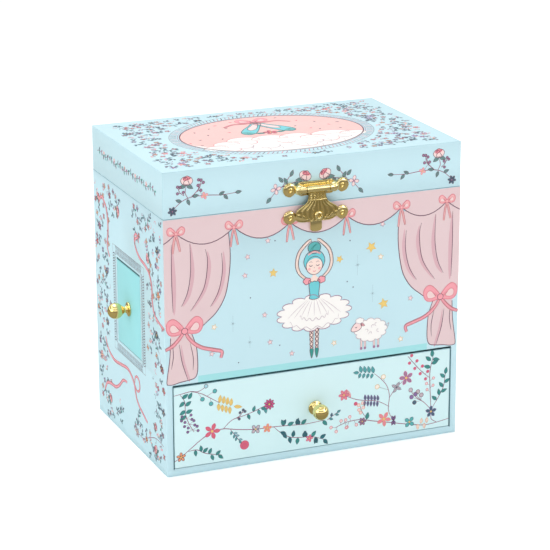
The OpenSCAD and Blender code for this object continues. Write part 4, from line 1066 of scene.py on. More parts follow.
def slipper(panel, toe, angle, size, flip):
    def place(points):
        return turned(points, angle, toe, size, flip)

    sole, mouth, toeCap = (smoothLine(place(slipperLines[part]), True, 4) for part in ("sole", "mouth",
                                                                                       "toeCap"))
    outlined(panel, "turquoise", 5, sole, "deepTeal", 0.4)
    outlined(panel, "blush", 6, mouth, "plum", 0.3)
    fill(panel, "sea", 6, toeCap)
    for k in range(3):
        tuck = place([(1.0 + k * 0.6, -0.8 + k * 0.8), (2.6 + k * 0.3, -0.6 + k * 0.7)])
        stroke(panel, "deepTeal", 7, 0.22, tuck)
    knotU, knotV = oval["knot"]
    for u, v in place(slipperLines["heels"]):
        ribbon = [(u, v), ((u + knotU) / 2 + (u - knotU) * 0.3, (v + knotV) / 2), (knotU, knotV)]
        band(panel, ribbon, 0.7, "ribbonPink", "coral", 5)


oval = {
    "centre": (84, 56.5), "radii": (51.5, 38.5), "lace": 5.4,
    "knot": (84, 84),  # where the slippers' ribbons meet
    "puffs": [((44, 36.5), (6.4, 4.4)), ((52, 42), (7, 5.6)), ((63.5, 47), (9, 6.6)), ((78, 45), (10, 7.6)),
              ((93, 45), (9, 6.4)), ((101, 40), (7, 5)), ((113, 44), (11, 6.6)), ((125, 40.5), (7.4, 5))],
    "curls": [((60, 34), 5, 200), ((72, 30), 6, 180), ((92, 27), 6, 170), ((108, 33), 6, 190),
              ((118, 36), 4, 160), ((84, 37), 5, 150), ((66, 41), 4, 210), ((100, 31), 4, 200),
              ((52, 30), 4, 190)],
    "petals": [(60.5, 84), (55, 77.5), (45.5, 72), (64, 66), (43.5, 56.5), (55, 55), (35, 53), (38.5, 46),
               (98, 88), (107, 77), (116, 71), (128, 66), (109, 59.5), (112, 56), (122.5, 54), (71, 88),
               (101, 66), (50, 64), (121, 62), (66, 76)],
}
inkMade["oval"] = ovalPaper


def lidTopArt():
    t = lidTop
    centre, radii, lace = oval["centre"], oval["radii"], oval["lace"]

    def around(grow, steps=96):
        return ellipse(centre, (radii[0] + grow, radii[1] + grow), steps)

    fill(ovalPanel, "oval", 0, around(0))
    stroke(t, "plum", 3, 0.62, around(0), True)
    stroke(t, "mauve", 1, 0.3, around(1.1), True)
    stroke(t, "hatch", 1, 0.26, around(lace + 0.3), True)
    hatchBorder(t, around(1.2, 136)[::-1], 1.7, lace - 1.0, ("mauve", "coral", "hatch"), ((0.52, 66),), 0.44)

    # gathered white net along the lower edge, with puffy scallops
    low, high, share = 1.075 * math.pi, 1.88 * math.pi, 0.985
    net = [(centre[0] + radii[0] * share * math.cos(a), centre[1] + radii[1] * share * math.sin(a))
           for a in (low + (high - low) * k / 48 for k in range(49))]
    fill(t, "white", 1, net + [(126, 40), (113, 45), (93, 46), (78, 46), (63, 46), (52, 41), (44, 37)])
    for middle, size in oval["puffs"]:
        fill(t, "white", 2, ellipse(middle, size, 26))
        rim = ellipse(middle, (size[0] + 0.2, size[1] + 0.2), 44)
        arc = sorted((p for p in rim if p[1] > middle[1] - 1.2), key=lambda p: heading(middle, p))
        stroke(t, "red", 3, 0.34, arc, taper=0.5)
    for at, size, angle in oval["curls"]:
        curl = turned([(-1, 0.1), (-0.6, -0.5), (0.1, -0.7), (0.8, -0.3), (1, 0.3)], angle - 180, at, size)
        stroke(t, "red" if angle % 20 else "mauve", 3, 0.32, smoothLine(curl), taper=0.6)
    for k in range(9):
        u, v = 54 + k * 7.4, 24 + 4 * math.sin(k * 1.9) - 0.06 * (k - 4) ** 2
        stroke(t, "stone", 3, 0.24, smoothLine([(u, v), (u + 1.4, v + 4), (u + 0.6, v + 8)]), taper=0.7)

    slipper(t, (70.5, 57.5), 58, 1.45, 1)
    slipper(t, (97.5, 57.5), 122, 1.45, -1)
    bow(t, (84, 84.4), 8.4, [[(0, 0), (side * 5.4, -3), (side * 13, -2.4),
                              (side * 19.6, -7)] for side in (-1, 1)],
        1.2, "ribbonPink", "coral", 6)
    blossom(t, (84, 58.4), 4.2, "red", "gold", 5, 18, "plum", 5)
    for side in (-1, 1):
        leaf(t, (84 + side * 3.4, 57.8), 90 - side * 82, "teal", 5.4, 2.6, 5, "deepTeal")
    for k, at in enumerate(oval["petals"]):
        leaf(t, at, k * 47, "plum" if k % 3 else "red", 2.2, 1.0, 2)

    def allowed(u, v):
        return math.hypot((u - centre[0]) / (radii[0] + lace + 3.8),
                          (v - centre[1]) / (radii[1] + lace + 3.2)) > 1
    spots = spotsIn((8, 7.4), (161.6, 106), 4.2, allowed)
    scatter(t, spots, 1.08, "greyLine")
    for at in spots[::9]:
        colour = random.choice(("mauve", "violet", "slate", "coral", "navy"))
        blossom(t, at, 2.2, colour, "gold", 5, at[0] * 11, None, 3)


frontArt()
dancerPrint(frontPanel, (84.4, 90.4))
lambPrint(frontPanel, (117, 66.6))
lidFrontArt()
drawerArt()
windowLeft = ((halfD - sideHigh.y - gap, sideLow.z - below), (halfD - sideLow.y + gap, sideHigh.z + above))
sideArt(leftPanel, lidLeft, lambda p: p, windowLeft)
sideArt(rightPanel, lidRight, lambda p: (depth - p[0], p[1]), None)
bigBow(rightPanel, (depth / 2, 76), 10, 1.6, [(0, 0), (4, -8), (9, -14), (17, -17), (22, -26)])
backArt()
lidTopArt()
for panel in (curtainPanel, ovalPanel, frontPanel, lidFront, drawerPanel, leftPanel, lidLeft, rightPanel,
              lidRight, backPanel, lidBack, lidTop):
    printPanel(panel)
print("stage 3: prints")


# brass: clasp, knobs

def spun(bm, profile, place, steps=40):
    # a turned shape from (radius, height) points, in mm, standing on the place matrix
    verts = [bm.verts.new((r * mm, 0, h * mm)) for r, h in profile]
    edges = [bm.edges.new(pair) for pair in zip(verts, verts[1:])]
    made = bmesh.ops.spin(bm, geom=verts + edges, cent=(0, 0, 0), axis=(0, 0, 1), angle=math.tau, steps=steps,
                          use_merge=True)
    new = {v for v in bm.verts if not v.tag}
    bmesh.ops.transform(bm, matrix=place, verts=list(new))
    for v in bm.verts:
        v.tag = True
    return made


def standing(x, y, z, way):
    # the matrix that stands a turned shape at a place, along a direction
    turn = Vector((0, 0, 1)).rotation_difference(Vector(way)).to_matrix().to_4x4()
    return Matrix.Translation(Vector((x, y, z)) * mm) @ turn


knob = {"foot": 3.95, "neck": 1.8, "ball": 4.4, "out": 12.0}


def knobPiece(name, node, body, way):
    low, high = boxOf(node)
    middle = (low + high) / 2
    root = Vector((middle.x, high.y, middle.z)) if way[1] else Vector((high.x, middle.y, middle.z))
    ball, foot, neck, out = knob["ball"] - 0.02, knob["foot"], knob["neck"], knob["out"] - 0.02
    centre = out - ball
    profile = [(0, 0.02), (foot - 0.2, 0.02), (foot, 0.2), (foot, 0.55), (foot - 0.25, 0.8), (2.9, 1.05),
               (2.3, 1.35), (neck, 1.9), (neck - 0.1, 2.6), (neck, 3.1), (2.25, 3.45), (2.35, 3.6)]
    start = math.acos(2.35 / ball)
    profile += [(ball * math.cos(a), centre + ball * math.sin(a))
                for a in (-start + (math.pi / 2 + start) * k / 16 for k in range(1, 17))]
    profile[-1] = (0, out)
    bm = bmesh.new()
    spun(bm, profile, standing(*root, way), 48)
    return keep(name, bm, body, [brassKnob], [node], smooth=50, tidy=True)


knobPiece("front_drawer_pull", "drawer_knob", "front_drawer", (0, -1, 0))
knobPiece("side_drawer_pull", "side_drawer_knob", "side_drawer", (-1, 0, 0))

plateFace = boxOf("clasp_lid_plate")[1].y
casePlateLow = boxOf("clasp_case_plate")[0]
pinLow, pinHigh = boxOf("clasp_pin")
haspLow, haspHigh = boxOf("clasp_hasp")
clasp = {
    "face": plateFace, "thick": 1.0, "nailX": boxOf("clasp_lid_nails")[1].x - 1.5,
    "pin": (pinLow + pinHigh) / 2, "barrel": 1.85, "barrelHalf": 6.35,
    "lobes": 8, "neckHalf": 5.3, "shellHalf": 11.7, "neckShare": 0.3,
    "ear": [(3.3, -0.3), (3.2, 0.1), (2.8, 0.34), (2.2, 0.46), (1.5, 0.48), (1.3, 0.1)],
}
claspZ, catchZ = (sum(corner.z for corner in boxOf(node)) / 2 for node in ("clasp_lid_nails",
                                                                           "clasp_case_nails"))


def raised(bm, faces, way):
    # pulls faces up into a solid along a direction in mm, and gives the new top faces
    grown = bmesh.ops.extrude_face_region(bm, geom=faces)["geom"]
    bmesh.ops.translate(bm, vec=Vector(way) * mm, verts=[g for g in grown if isinstance(g,
                                                                                        bmesh.types.BMVert)])
    return [g for g in grown if isinstance(g, bmesh.types.BMFace)]


def waistedPlate(bm, z, quarter):
    # a pressed plate from a quarter of its outline, with a raised rim
    half = quarter + [(x, -h) for x, h in quarter[-2::-1]]
    outline = smoothLine(half + [(-x, h) for x, h in half[-2:0:-1]], True, 4)
    face = bm.faces.new([bm.verts.new((x * mm, clasp["face"] * mm, (z + h) * mm)) for x, h in outline])
    face.normal_update()
    if face.normal.y > 0:
        face.normal_flip()
    top = raised(bm, [face], (0, -clasp["thick"] * 0.75, 0))
    for thickness, step in ((0.28, 0.25), (0.3, 0), (0.25, -0.22)):  # up to the rim, along it, down again
        bmesh.ops.inset_region(bm, faces=top, thickness=thickness * mm, depth=step * mm, use_even_offset=True)


def domes(bm, places, profile):
    for x, y, z in places:
        spun(bm, profile, standing(x, y, z, (0, -1, 0)), 28)


def markOld(bm):
    for v in bm.verts:
        v.tag = True


def nailedPlate(z, quarter):
    # a plate with a dished ear under each nail
    bm = bmesh.new()
    n = clasp["nailX"]
    waistedPlate(bm, z, quarter)
    markOld(bm)
    front = clasp["face"] - clasp["thick"]
    domes(bm, [(side * n, front, z) for side in (-1, 1)], clasp["ear"])
    return bm, front


def lidPlate():
    n = clasp["nailX"]
    bm, front = nailedPlate(claspZ, [(0, 3.6), (5.5, 3.7), (8.6, 3.8), (10.6, 2.7), (11.8, 1.9), (13, 2.9),
                                     (n, 3.8), (n + 2.8, 2.7), (n + 3.85, 0)])
    pin = clasp["pin"]
    for side in (-1, 1):  # the domed knuckles that hold the pin
        spun(bm, [(3.0, -0.6), (2.95, 0.6), (2.6, 1.9), (1.9, 2.9), (1.0, 3.55), (0, 3.75)],
             standing(side * 9.75, front + 0.2, claspZ - 0.1, (0, -1, 0)), 32)
        spun(bm, [(0, 6.62), (1.55, 6.62), (1.85, 6.9), (1.85, 9.4), (1.5, 9.9), (0, 9.9)],
             standing(0, pin.y, pin.z, (side, 0, 0)), 28)
    keep("clasp_upper_plate", bm, "lid", [brass], ["clasp_lid_plate"], smooth=38, tidy=True)


def casePlate():
    n = clasp["nailX"]
    bm, front = nailedPlate(catchZ, [(0, 3.3), (6.5, 3.4), (9.4, 3.0), (11, 2.2), (12.2, 2.0), (13.2, 3.0),
                                     (n, 3.7), (n + 2.7, 2.6), (n + 3.75, 0)])
    keep("clasp_lower_plate", bm, "case", [brass], ["clasp_case_plate"], smooth=38, tidy=True)

    bm = bmesh.new()  # the sprung tongue below the plate, with a round end
    foot, half = casePlateLow.z + 1.6, 3.3
    curve = [(-half * math.cos(a), foot - 1.55 * math.sin(a)) for a in (math.pi * k / 10 for k in range(1,
                                                                                                        10))]
    outline = [(-half, foot + 4.4), (-half, foot)] + curve + [(half, foot), (half, foot + 4.4)]
    face = bm.faces.new([bm.verts.new((x * mm, (clasp["face"] - 0.05) * mm, z * mm)) for x, z in outline])
    raised(bm, [face], (0, -0.95, 0))
    bmesh.ops.recalc_face_normals(bm, faces=bm.faces)
    roundEdges(bm, bm.edges, 0.25, 2)
    keep("clasp_tongue", bm, "case", [brass], smooth=40, tidy=True)


def nails(name, node, z, body):
    bm = bmesh.new()
    front = clasp["face"] - clasp["thick"]
    for side in (-1, 1):
        spun(bm, [(0, 0.12), (0.3, 0.14), (0.5, 0.42), (0.85, 0.6), (1.2, 0.48), (1.45, 0.2), (1.5, -0.05),
                  (0.6, -0.1), (0.6, -3.2), (0, -3.8)], standing(side * clasp["nailX"], front, z,
                                                                 (0, -1, 0)), 24)
    keep(name, bm, body, [brassKnob], [node], smooth=45, tidy=True)


def shellPoint(s, t):
    # a place on the shell's face: s from -1 to 1 across, t from 0 at the pin to 1 at the scalloped hem
    neck = clasp["neckShare"]
    if t < neck:
        half = clasp["neckHalf"] - 0.35 * math.sin(math.pi * t / neck)
        fan = 0.0
    else:
        fan = (t - neck) / (1 - neck)
        ease = min(1, fan / 0.56)
        half = clasp["neckHalf"] + (clasp["shellHalf"] - clasp["neckHalf"]) * ease * ease * (3 - 2 * ease)
        half -= 1.9 * max(0, (fan - 0.74) / 0.26) ** 2
    flute = abs(math.sin(math.pi * (s + 1) / 2 * clasp["lobes"]))
    top, bottom = clasp["pin"].z - 1.2, haspLow.z + 0.2
    z = top - (top - bottom) * t
    z += (3.1 * s * s - 1.25 * flute ** 0.7 + 1.25) * fan ** 3
    y = haspHigh.y - 1.2 - 0.75 * (1 - s * s) * math.sin(math.pi * min(1, 0.25 + t * 0.7))
    if fan > 0:
        y += 0.36 * flute * min(1, fan * 4)
    else:
        chevron = (t / neck * 4 + abs(s * 4 - round(s * 4)) * 2) % 1
        y += 0.22 * abs(chevron * 2 - 1) * (1 if 0.08 < t / neck < 0.94 else 0)
    return Vector((s * half, y, z)) * mm


def hasp():
    bm = bmesh.new()
    bmesh.ops.create_grid(bm, x_segments=112, y_segments=64, size=1)
    for v in bm.verts:
        v.co = shellPoint(v.co.x, (v.co.y + 1) / 2)
    bmesh.ops.recalc_face_normals(bm, faces=bm.faces)
    bm.faces.ensure_lookup_table()
    if bm.faces[len(bm.faces) // 2].normal.y > 0:
        bmesh.ops.reverse_faces(bm, faces=bm.faces)
    shell = keep("clasp_shell", bm, "hasp", [brassGround], ["clasp_hasp"], smooth=60)
    wall = shell.modifiers.new("plate thickness", "SOLIDIFY")
    wall.thickness = 0.5 * mm
    wall.offset = -1

    curve = bpy.data.curves.new("ribs", "CURVE")
    curve.dimensions = "3D"
    curve.bevel_depth = 0.25 * mm
    curve.bevel_resolution = 2
    curve.use_fill_caps = True
    start = clasp["neckShare"] + 0.02
    lines = [[shellPoint(-1 + 2 * k / clasp["lobes"], start + (1 - start) * i / 14) for i in range(15)]
             for k in range(clasp["lobes"] + 1)]
    lines.append([shellPoint(-1 + 2 * k / 96, 1.0) for k in range(97)])
    lines.append([shellPoint(-1 + 2 * k / 24, clasp["neckShare"] * 0.97) for k in range(25)])
    for k in range(clasp["lobes"]):  # the fine inner line of each flute
        s0 = -1 + 2 * (k + 0.22) / clasp["lobes"]
        s1 = -1 + 2 * (k + 0.78) / clasp["lobes"]
        lines.append([shellPoint(s0, start + 0.12 + (0.9 - start - 0.12) * i / 10) for i in range(11)]
                     + [shellPoint(s0 + (s1 - s0) * i / 8,
                                   0.9 + 0.035 * math.sin(math.pi * i / 8)) for i in range(1, 8)]
                     + [shellPoint(s1, 0.9 - (0.9 - start - 0.12) * i / 10) for i in range(11)])
    for column in range(5):  # chevrons stamped on the neck
        for row in range(3):
            t0 = clasp["neckShare"] * (0.16 + 0.27 * row)
            s0 = -0.82 + 0.36 * column
            lines.append([shellPoint(s0, t0), shellPoint(s0 + 0.26, t0 + 0.035), shellPoint(s0, t0 + 0.07)])
    heavy = [*range(clasp["lobes"] + 3), *range(len(lines) - 15, len(lines))]  # rims, ribs and chevrons
    for n, line in enumerate(lines):
        spline = curve.splines.new("POLY")
        spline.points.add(len(line) - 1)
        for point, place in zip(spline.points, line):
            point.co = (*(place + Vector((0, -0.14 * mm, 0))), 1)
            point.radius = 1.0 if n in heavy else 0.6
    holder = bpy.data.objects.new("ribs", curve)
    mesh = bpy.data.meshes.new_from_object(holder)
    bpy.data.objects.remove(holder)
    bm = bmesh.new()
    bm.from_mesh(mesh)
    keep("clasp_shell_ribs", bm, "hasp", [brass], smooth=60, tidy=True)

    bm = bmesh.new()
    pin = clasp["pin"]
    r, h = clasp["barrel"], clasp["barrelHalf"]
    spun(bm, [(0, -h), (r - 0.25, -h), (r, -h + 0.25), (r, h - 0.25), (r - 0.25, h), (0, h)],
         standing(0, pin.y, pin.z, (1, 0, 0)), 36)
    button = shellPoint(0.05, 0.83) / mm
    spun(bm, [(2.5, -0.5), (2.45, 0.25), (2.1, 0.8), (1.6, 1.0), (1.15, 0.85), (0.85, 0.35), (0.75, -0.1),
              (0, -0.2)],
         standing(button.x, button.y, button.z, (0, -1, 0.0)), 32)
    keep("clasp_shell_knuckle", bm, "hasp", [brass], smooth=40, tidy=True)


lidPlate()
casePlate()
nails("clasp_upper_nails", "clasp_lid_nails", claspZ, "lid")
nails("clasp_lower_nails", "clasp_case_nails", catchZ, "case")
hasp()
print("stage 4: brass")


# the rest of the hardware and the inside

def metal(name, colour, roughLow, roughHigh, grain, depth):
    # plated, cast or drawn metal with faintly uneven gloss and fine surface grain
    return madeOf(name, None, ((2.0, 3), roughLow, roughHigh), ((grain, 3), depth),
                  Base_Color=linear(colour), Metallic=1.0)


def softGoods(name, colourA, colourB, grain, depth, sheen):
    # pile or felt: matt, a soft glow at grazing angles, clumped short fibres
    return madeOf(name, ((grain * 6, 4, 0.7), colourA, colourB), None, ((grain, 4, 0.75, (1, 1, 0.7)), depth),
                  Roughness=0.92, Sheen_Weight=sheen, Sheen_Roughness=0.5)


def plastic(name, colour, rough, grain=0.8):
    # moulded plastic: even colour, soft highlight, the mould's faint orange peel
    return madeOf(name, None, ((grain, 2), rough - 0.05, rough + 0.06), ((grain, 2), 0.006),
                  Base_Color=linear(colour), IOR=1.49)


plush = softGoods("short pink plush", "#f4dfde", "#ecccce", 0.45, 0.16, 0.6)
felt = softGoods("thin pink felt", "#efb6c1", "#e7a7b4", 0.3, 0.08, 0.35)
liner = softGoods("flocked pink lining", "#f5ced4", "#f0c2ca", 0.2, 0.02, 0.25)
boardPink = printedPaper("pink covering paper", "#f0bfc7", "#edb8c1")
boardTurquoise = printedPaper("turquoise covering paper", "#8fd6dc", "#98dde2")
edgePaper = printedPaper("folded blue edge paper", "#9dc6d2", "#a9d0db")
mirrorGlass = metal("silvered glass", "#e6eef0", 0.015, 0.04, 30, 0.004)
zinc = metal("cast zinc", "#aeb2b4", 0.36, 0.52, 0.7, 0.03)
springSteel = metal("blued spring steel", "#8f979e", 0.2, 0.32, 0.5, 0.006)
screwSteel = metal("zinc plated steel", "#c3c4c0", 0.22, 0.36, 0.4, 0.006)
clockBrass = metal("drawn movement brass", "#d9b25a", 0.18, 0.3, 0.5, 0.006)
nylon = plastic("white nylon", "#efece2", 0.42)
stagePaper = plastic("pearl stage card", "#fbefe8", 0.34)

dressed = [
    (edgePaper, ["left_side", "right_side", "back_board", "front_panel", "lid_rim", "lid_top_board",
                 "base_board"]),
    (boardTurquoise, ["drawer_shelf", "side_drawer_bay"]),
    (boardPink, ["drawer_back_wall", "drawer_bottom", "drawer_side_walls", "side_drawer_tray"]),
    (liner, ["compartment_floor", "compartment_lining", "lid_liner"]),
    (felt, ["drawer_felt", "side_drawer_felt"]),
    (mirrorGlass, ["mirror"]),
    (screwSteel, ["drawer_knob_screw", "side_drawer_knob_screw", "movement_screws", "hinge_pins", "clasp_pin",
                  "hinge_case_nails", "hinge_lid_nails"]),
    (zinc, ["movement_frame", "spring_housing"]),
    (springSteel, ["mainspring", "stop_wire", "tune_comb"]),
    (clockBrass, ["tune_cylinder", "cylinder_arbor", "governor_arbor", "winding_arbor", "dancer_spindle",
                  "governor_bracket"]),
    (nylon, ["governor_worm", "great_wheel"]),
]
for material, names in dressed:
    for name in names:
        nodes[name].data.materials.clear()
        nodes[name].data.materials.append(material)


def softened(name, node, body, material, radius, smooth=30, segments=2):
    # the CAD shape again, its seams merged and its sharp edges rolled over
    source = nodes[node]
    bm = bmesh.new()
    bm.from_mesh(source.data)
    bmesh.ops.transform(bm, matrix=source.matrix_world, verts=bm.verts)
    bmesh.ops.remove_doubles(bm, verts=bm.verts, dist=2e-6)
    bmesh.ops.dissolve_limit(bm, angle_limit=0.02, verts=bm.verts, edges=bm.edges)
    roundEdges(bm, [e for e in bm.edges if len(e.link_faces) == 2 and e.calc_face_angle(0) > math.radians(40)],
               radius, segments)
    return keep(name, bm, body, [material], [node], smooth=smooth)


softened("key_with_loops", "winding_key", "winding_train", brassKnob, 0.3)
softened("key_plate", "key_escutcheon", "case", brass, 0.25)
softened("case_hinge_leaves", "hinge_case_leaves", "case", brass, 0.12)
softened("lid_hinge_leaves", "hinge_lid_leaves", "lid", brass, 0.12)
softened("tray_partition", "compartment_partition", "case", liner, 0.5, segments=3)
softened("mirror_card", "mirror_frame", "lid", boardPink, 0.25)
softened("round_stage", "stage_disc", "case", stagePaper, 0.35)

rollLow, rollHigh = boxOf("ring_rolls")
rolls = {"count": 3, "crown": 0.25}


def ringRoll(k):
    # one foam roll: a soft barrel with domed, slightly puckered ends
    pitch = (rollHigh.y - rollLow.y) / rolls["count"]
    radius = pitch / 2 - 0.02
    middle = Vector((0, rollLow.y + pitch * (k + 0.5), (rollLow.z + rollHigh.z) / 2))
    half = (rollHigh.x - rollLow.x) / 2 - 0.1
    radius = min(radius, (rollHigh.z - rollLow.z) / 2 - 0.02)
    profile = [(0, -half + 0.9), (1.6, -half + 0.3), (radius * 0.45, -half), (radius * 0.75, -half + 0.5),
               (radius * 0.93, -half + 1.9), (radius, -half + 4.4)]
    body = [(radius - rolls["crown"] * math.sin(n * 1.7 + k) ** 2, -half + 8 + (2 * half - 16) * n / 14)
            for n in range(15)]
    profile += body + [(r, -h) for r, h in reversed(profile)]
    bm = bmesh.new()
    spun(bm, profile, standing((rollLow.x + rollHigh.x) / 2, middle.y, middle.z, (1, 0, 0)), 40)
    replaced = [] if k else ["ring_rolls"]
    roll = keep(f"ring_roll_{k + 1}", bm, "case", [plush], replaced, smooth=60, tidy=True)


for k in range(rolls["count"]):
    ringRoll(k)
print("stage 5: hardware and inside")


# dancer

figureLow, figureHigh = boxOf("dancer_figure")
doll = {"x": (figureLow.x + figureHigh.x) / 2, "y": (figureLow.y + figureHigh.y) / 2, "z": figureLow.z,
        "size": (figureHigh.z - figureLow.z) / 46.72}
dollSkin = plastic("painted doll skin", "#f3cdb8", 0.38)
dollDress = plastic("painted turquoise bodice", "#6fccd4", 0.3)
dollShoe = plastic("painted satin shoe pink", "#f0a3ae", 0.28)
dollHair = plastic("painted brown hair", "#7a4a2e", 0.36)
dollLine = plastic("fine brown brush line", "#4a2b22", 0.4)
dollLip = plastic("soft red lip paint", "#d0606a", 0.34)
dollCheek = plastic("rosy cheek paint", "#efa89c", 0.45)


def tube(bm, points, sides=18, ends=True):
    # a limb through (x, y, z, across, through) sections in the doll's own mm, rounded off at both ends
    path = smoothLine(points, steps=5)
    if ends:
        def cap(at, towards):
            way = (Vector(at[:3]) - Vector(towards[:3])).normalized()
            return [tuple(Vector(at[:3]) + way * at[3] * h) + (at[3] * r, at[4] * r)
                    for h, r in ((0.45, 0.88), (0.8, 0.58), (0.95, 0.25))]
        path = list(reversed(cap(path[0], path[1]))) + path + cap(path[-1], path[-2])
    ring = bmesh.ops.create_circle(bm, cap_ends=True, segments=sides, radius=1)["verts"]
    face = ring[0].link_faces[0]
    last = Matrix.Identity(4)
    for i, section in enumerate(path):
        way = (Vector(path[min(i + 1, len(path) - 1)][:3]) - Vector(path[max(i - 1, 0)][:3])).normalized()
        if not i:
            side = Vector((1, 0, 0)) if abs(way.x) < 0.9 else Vector((0, 0, 1))
        across = (side - way * side.dot(way)).normalized()
        side = across
        through = way.cross(across)
        here = Matrix((across * section[3], through * section[4], way)).transposed().to_4x4()
        here.translation = Vector(section[:3])
        if i:
            grown = bmesh.ops.extrude_face_region(bm, geom=[face])["geom"]
            face = next(g for g in grown if isinstance(g, bmesh.types.BMFace))
            ring = list(face.verts)
        bmesh.ops.transform(bm, matrix=here @ last.inverted(), verts=ring)
        last = here


def ball(bm, centre, radii, rings=18):
    place = Matrix.Translation(centre) @ Matrix.Diagonal((*radii, 1))
    return bmesh.ops.create_uvsphere(bm, u_segments=rings * 2, v_segments=rings, radius=1,
                                     matrix=place)["verts"]


def dollPiece(name, bm, material, replaced=()):
    bmesh.ops.recalc_face_normals(bm, faces=bm.faces)
    place = Matrix.Translation(Vector((doll["x"], doll["y"],
                                       doll["z"])) * mm) @ Matrix.Scale(doll["size"] * mm, 4)
    bmesh.ops.transform(bm, matrix=place, verts=bm.verts)
    return keep(name, bm, "dancer", [material], replaced, smooth=50)


def headShape(x, y, z, grow=0.0):
    # an egg with a small chin, cheeks and a flatter face
    fall = max(0, -z)
    narrow = 1 - 0.3 * fall ** 1.6
    return Vector(((2.42 + grow) * x * narrow, (2.62 + grow) * y * (1 - 0.14 * fall) + (0.12 if y < 0 else 0) * fall,
                   38 + (3.0 + grow) * z))


def onFace(u, v, lift=0.03):
    # a place on the face: u across, v up, both from -1 to 1
    y = -math.sqrt(max(0.01, 1 - u * u - v * v))
    return headShape(u, y, v, lift)


def dancer():
    bm = bmesh.new()
    ball(bm, (0, 0, 0), (1, 1, 1), 22)
    for v in bm.verts:
        v.co = headShape(*v.co)
    tube(bm, [(0, 0.2, 32, 1.15, 1.0), (0, 0.15, 33.4, 0.85, 0.85), (0, 0.1, 35.8, 0.82, 0.85)])
    tube(bm, [(-1.7, 0.1, 31.6, 0.8, 0.7), (0, 0.15, 32.0, 1.1, 0.95), (1.7, 0.1, 31.6, 0.8, 0.7)])
    for side in (-1, 1):
        tube(bm, [(side * 2.0, 0.1, 31.6, 0.72, 0.72), (side * 4.1, -0.1, 35.0, 0.66, 0.66),
                  (side * 5.8, -0.3, 38.5, 0.56, 0.56), (side * 4.9, -0.7, 41.6, 0.52, 0.52),
                  (side * 2.9, -1.0, 44.0, 0.4, 0.42), (side * 1.7, -1.1, 45.1, 0.46, 0.3),
                  (side * 0.85, -1.1, 45.7, 0.3, 0.22)], 14)
        ball(bm, (side * 2.42, 0.35, 37.6), (0.28, 0.42, 0.6), 8)
    nose = onFace(0, -0.16, 0.0)
    ball(bm, (nose.x, nose.y - 0.02, nose.z), (0.25, 0.34, 0.32), 8)
    dollPiece("doll_head_and_arms", bm, dollSkin, ["dancer_figure"])

    bm = bmesh.new()  # bodice
    tube(bm, [(0, 0.1, 22.6, 2.4, 1.9), (0, 0.1, 25.4, 2.2, 1.7), (0, 0.1, 27.6, 1.75, 1.4),
              (0, 0, 29.8, 2.3, 1.7), (0, 0.05, 31.1, 2.1, 1.35)], 28)
    for side in (-1, 1):
        ball(bm, (side * 0.95, -1.0, 29.9), (0.95, 0.75, 0.9), 10)
        tube(bm, [(side * 1.5, -0.9, 30.8, 0.2, 0.14), (side * 1.75, -0.2, 32.2, 0.2, 0.14),
                  (side * 1.5, 1.0, 31.2, 0.2, 0.14)], 8)
    dollPiece("doll_bodice", bm, dollDress)

    legs = bmesh.new()
    shoes = bmesh.new()
    for side, toe, lean in ((-1, (-0.3, 0.55), 0.15), (1, (0.35, -0.45), -0.3)):
        tube(legs, [(toe[0], toe[1], 2.6, 0.55, 0.6), (toe[0] + side * 0.25, toe[1], 4.4, 0.62, 0.66),
                    (side * 0.85, 0.3 + lean, 8.8, 1.0, 1.08), (side * 0.95, 0.0 + lean, 12.6, 0.84, 0.9),
                    (side * 1.05, 0.0, 17.2, 1.2, 1.25), (side * 1.1, 0.05, 21.8, 1.45, 1.5)], 18)
        tube(shoes, [(toe[0], toe[1], 0.45, 0.42, 0.46), (toe[0], toe[1] - 0.1, 1.4, 0.6, 0.72),
                     (toe[0], toe[1] + 0.1, 2.6, 0.66, 0.78),
                     (toe[0] + side * 0.1, toe[1] + 0.1, 3.4, 0.66, 0.72)], 16)
        for turn in range(3):  # ribbons crossed round the ankle
            z = 3.9 + turn * 0.75
            at = (toe[0] + side * (0.2 + 0.12 * turn), toe[1])
            ring = [(at[0] + 0.76 * math.cos(a), at[1] + 0.8 * math.sin(a),
                     z + 0.28 * math.sin(a + turn * math.pi), 0.09, 0.09)
                    for a in (math.tau * n / 12 for n in range(13))]
            tube(shoes, ring, 6, False)
    tube(legs, [(-1.2, 0.1, 22, 1.2, 1.4), (1.2, 0.1, 22, 1.2, 1.4)], 20)
    dollPiece("doll_legs", legs, plastic("painted pale pink tights", "#f7ddd6", 0.4))
    dollPiece("doll_shoes", shoes, dollShoe)

    bm = bmesh.new()  # hair drawn back into a bun, with a parting line of combed waves
    cap = ball(bm, (0, 0, 0), (1, 1, 1), 30)
    for v in cap:
        p = v.co.copy()
        wave = 0.05 * math.sin(math.atan2(p.x, p.z) * 26 + p.y * 3)
        v.co = headShape(*p, 0.2 + wave) + Vector((0, 0.06, 0.06))
    for plane, normal in (((0, -1.15, 38.9), (0, -1, -0.62)), ((0, 0.2, 36.6), (0, -0.25, -1))):
        bmesh.ops.bisect_plane(bm, geom=bm.verts[:] + bm.edges[:] + bm.faces[:], plane_no=normal,
                               clear_outer=True, plane_co=plane)
    bmesh.ops.holes_fill(bm, edges=[e for e in bm.edges if e.is_boundary])
    ball(bm, (0, 0.35, 41.55), (1.55, 1.55, 1.35), 18)
    for turn in range(3):
        ring = [((1.42 - 0.3 * turn) * math.cos(a), 0.35 + (1.42 - 0.3 * turn) * math.sin(a),
                 41.5 + 0.42 * turn
                 + 0.12 * math.sin(3 * a), 0.22, 0.26) for a in (math.tau * n / 18 for n in range(19))]
        tube(bm, ring, 8, False)
    dollPiece("doll_hair", bm, dollHair)

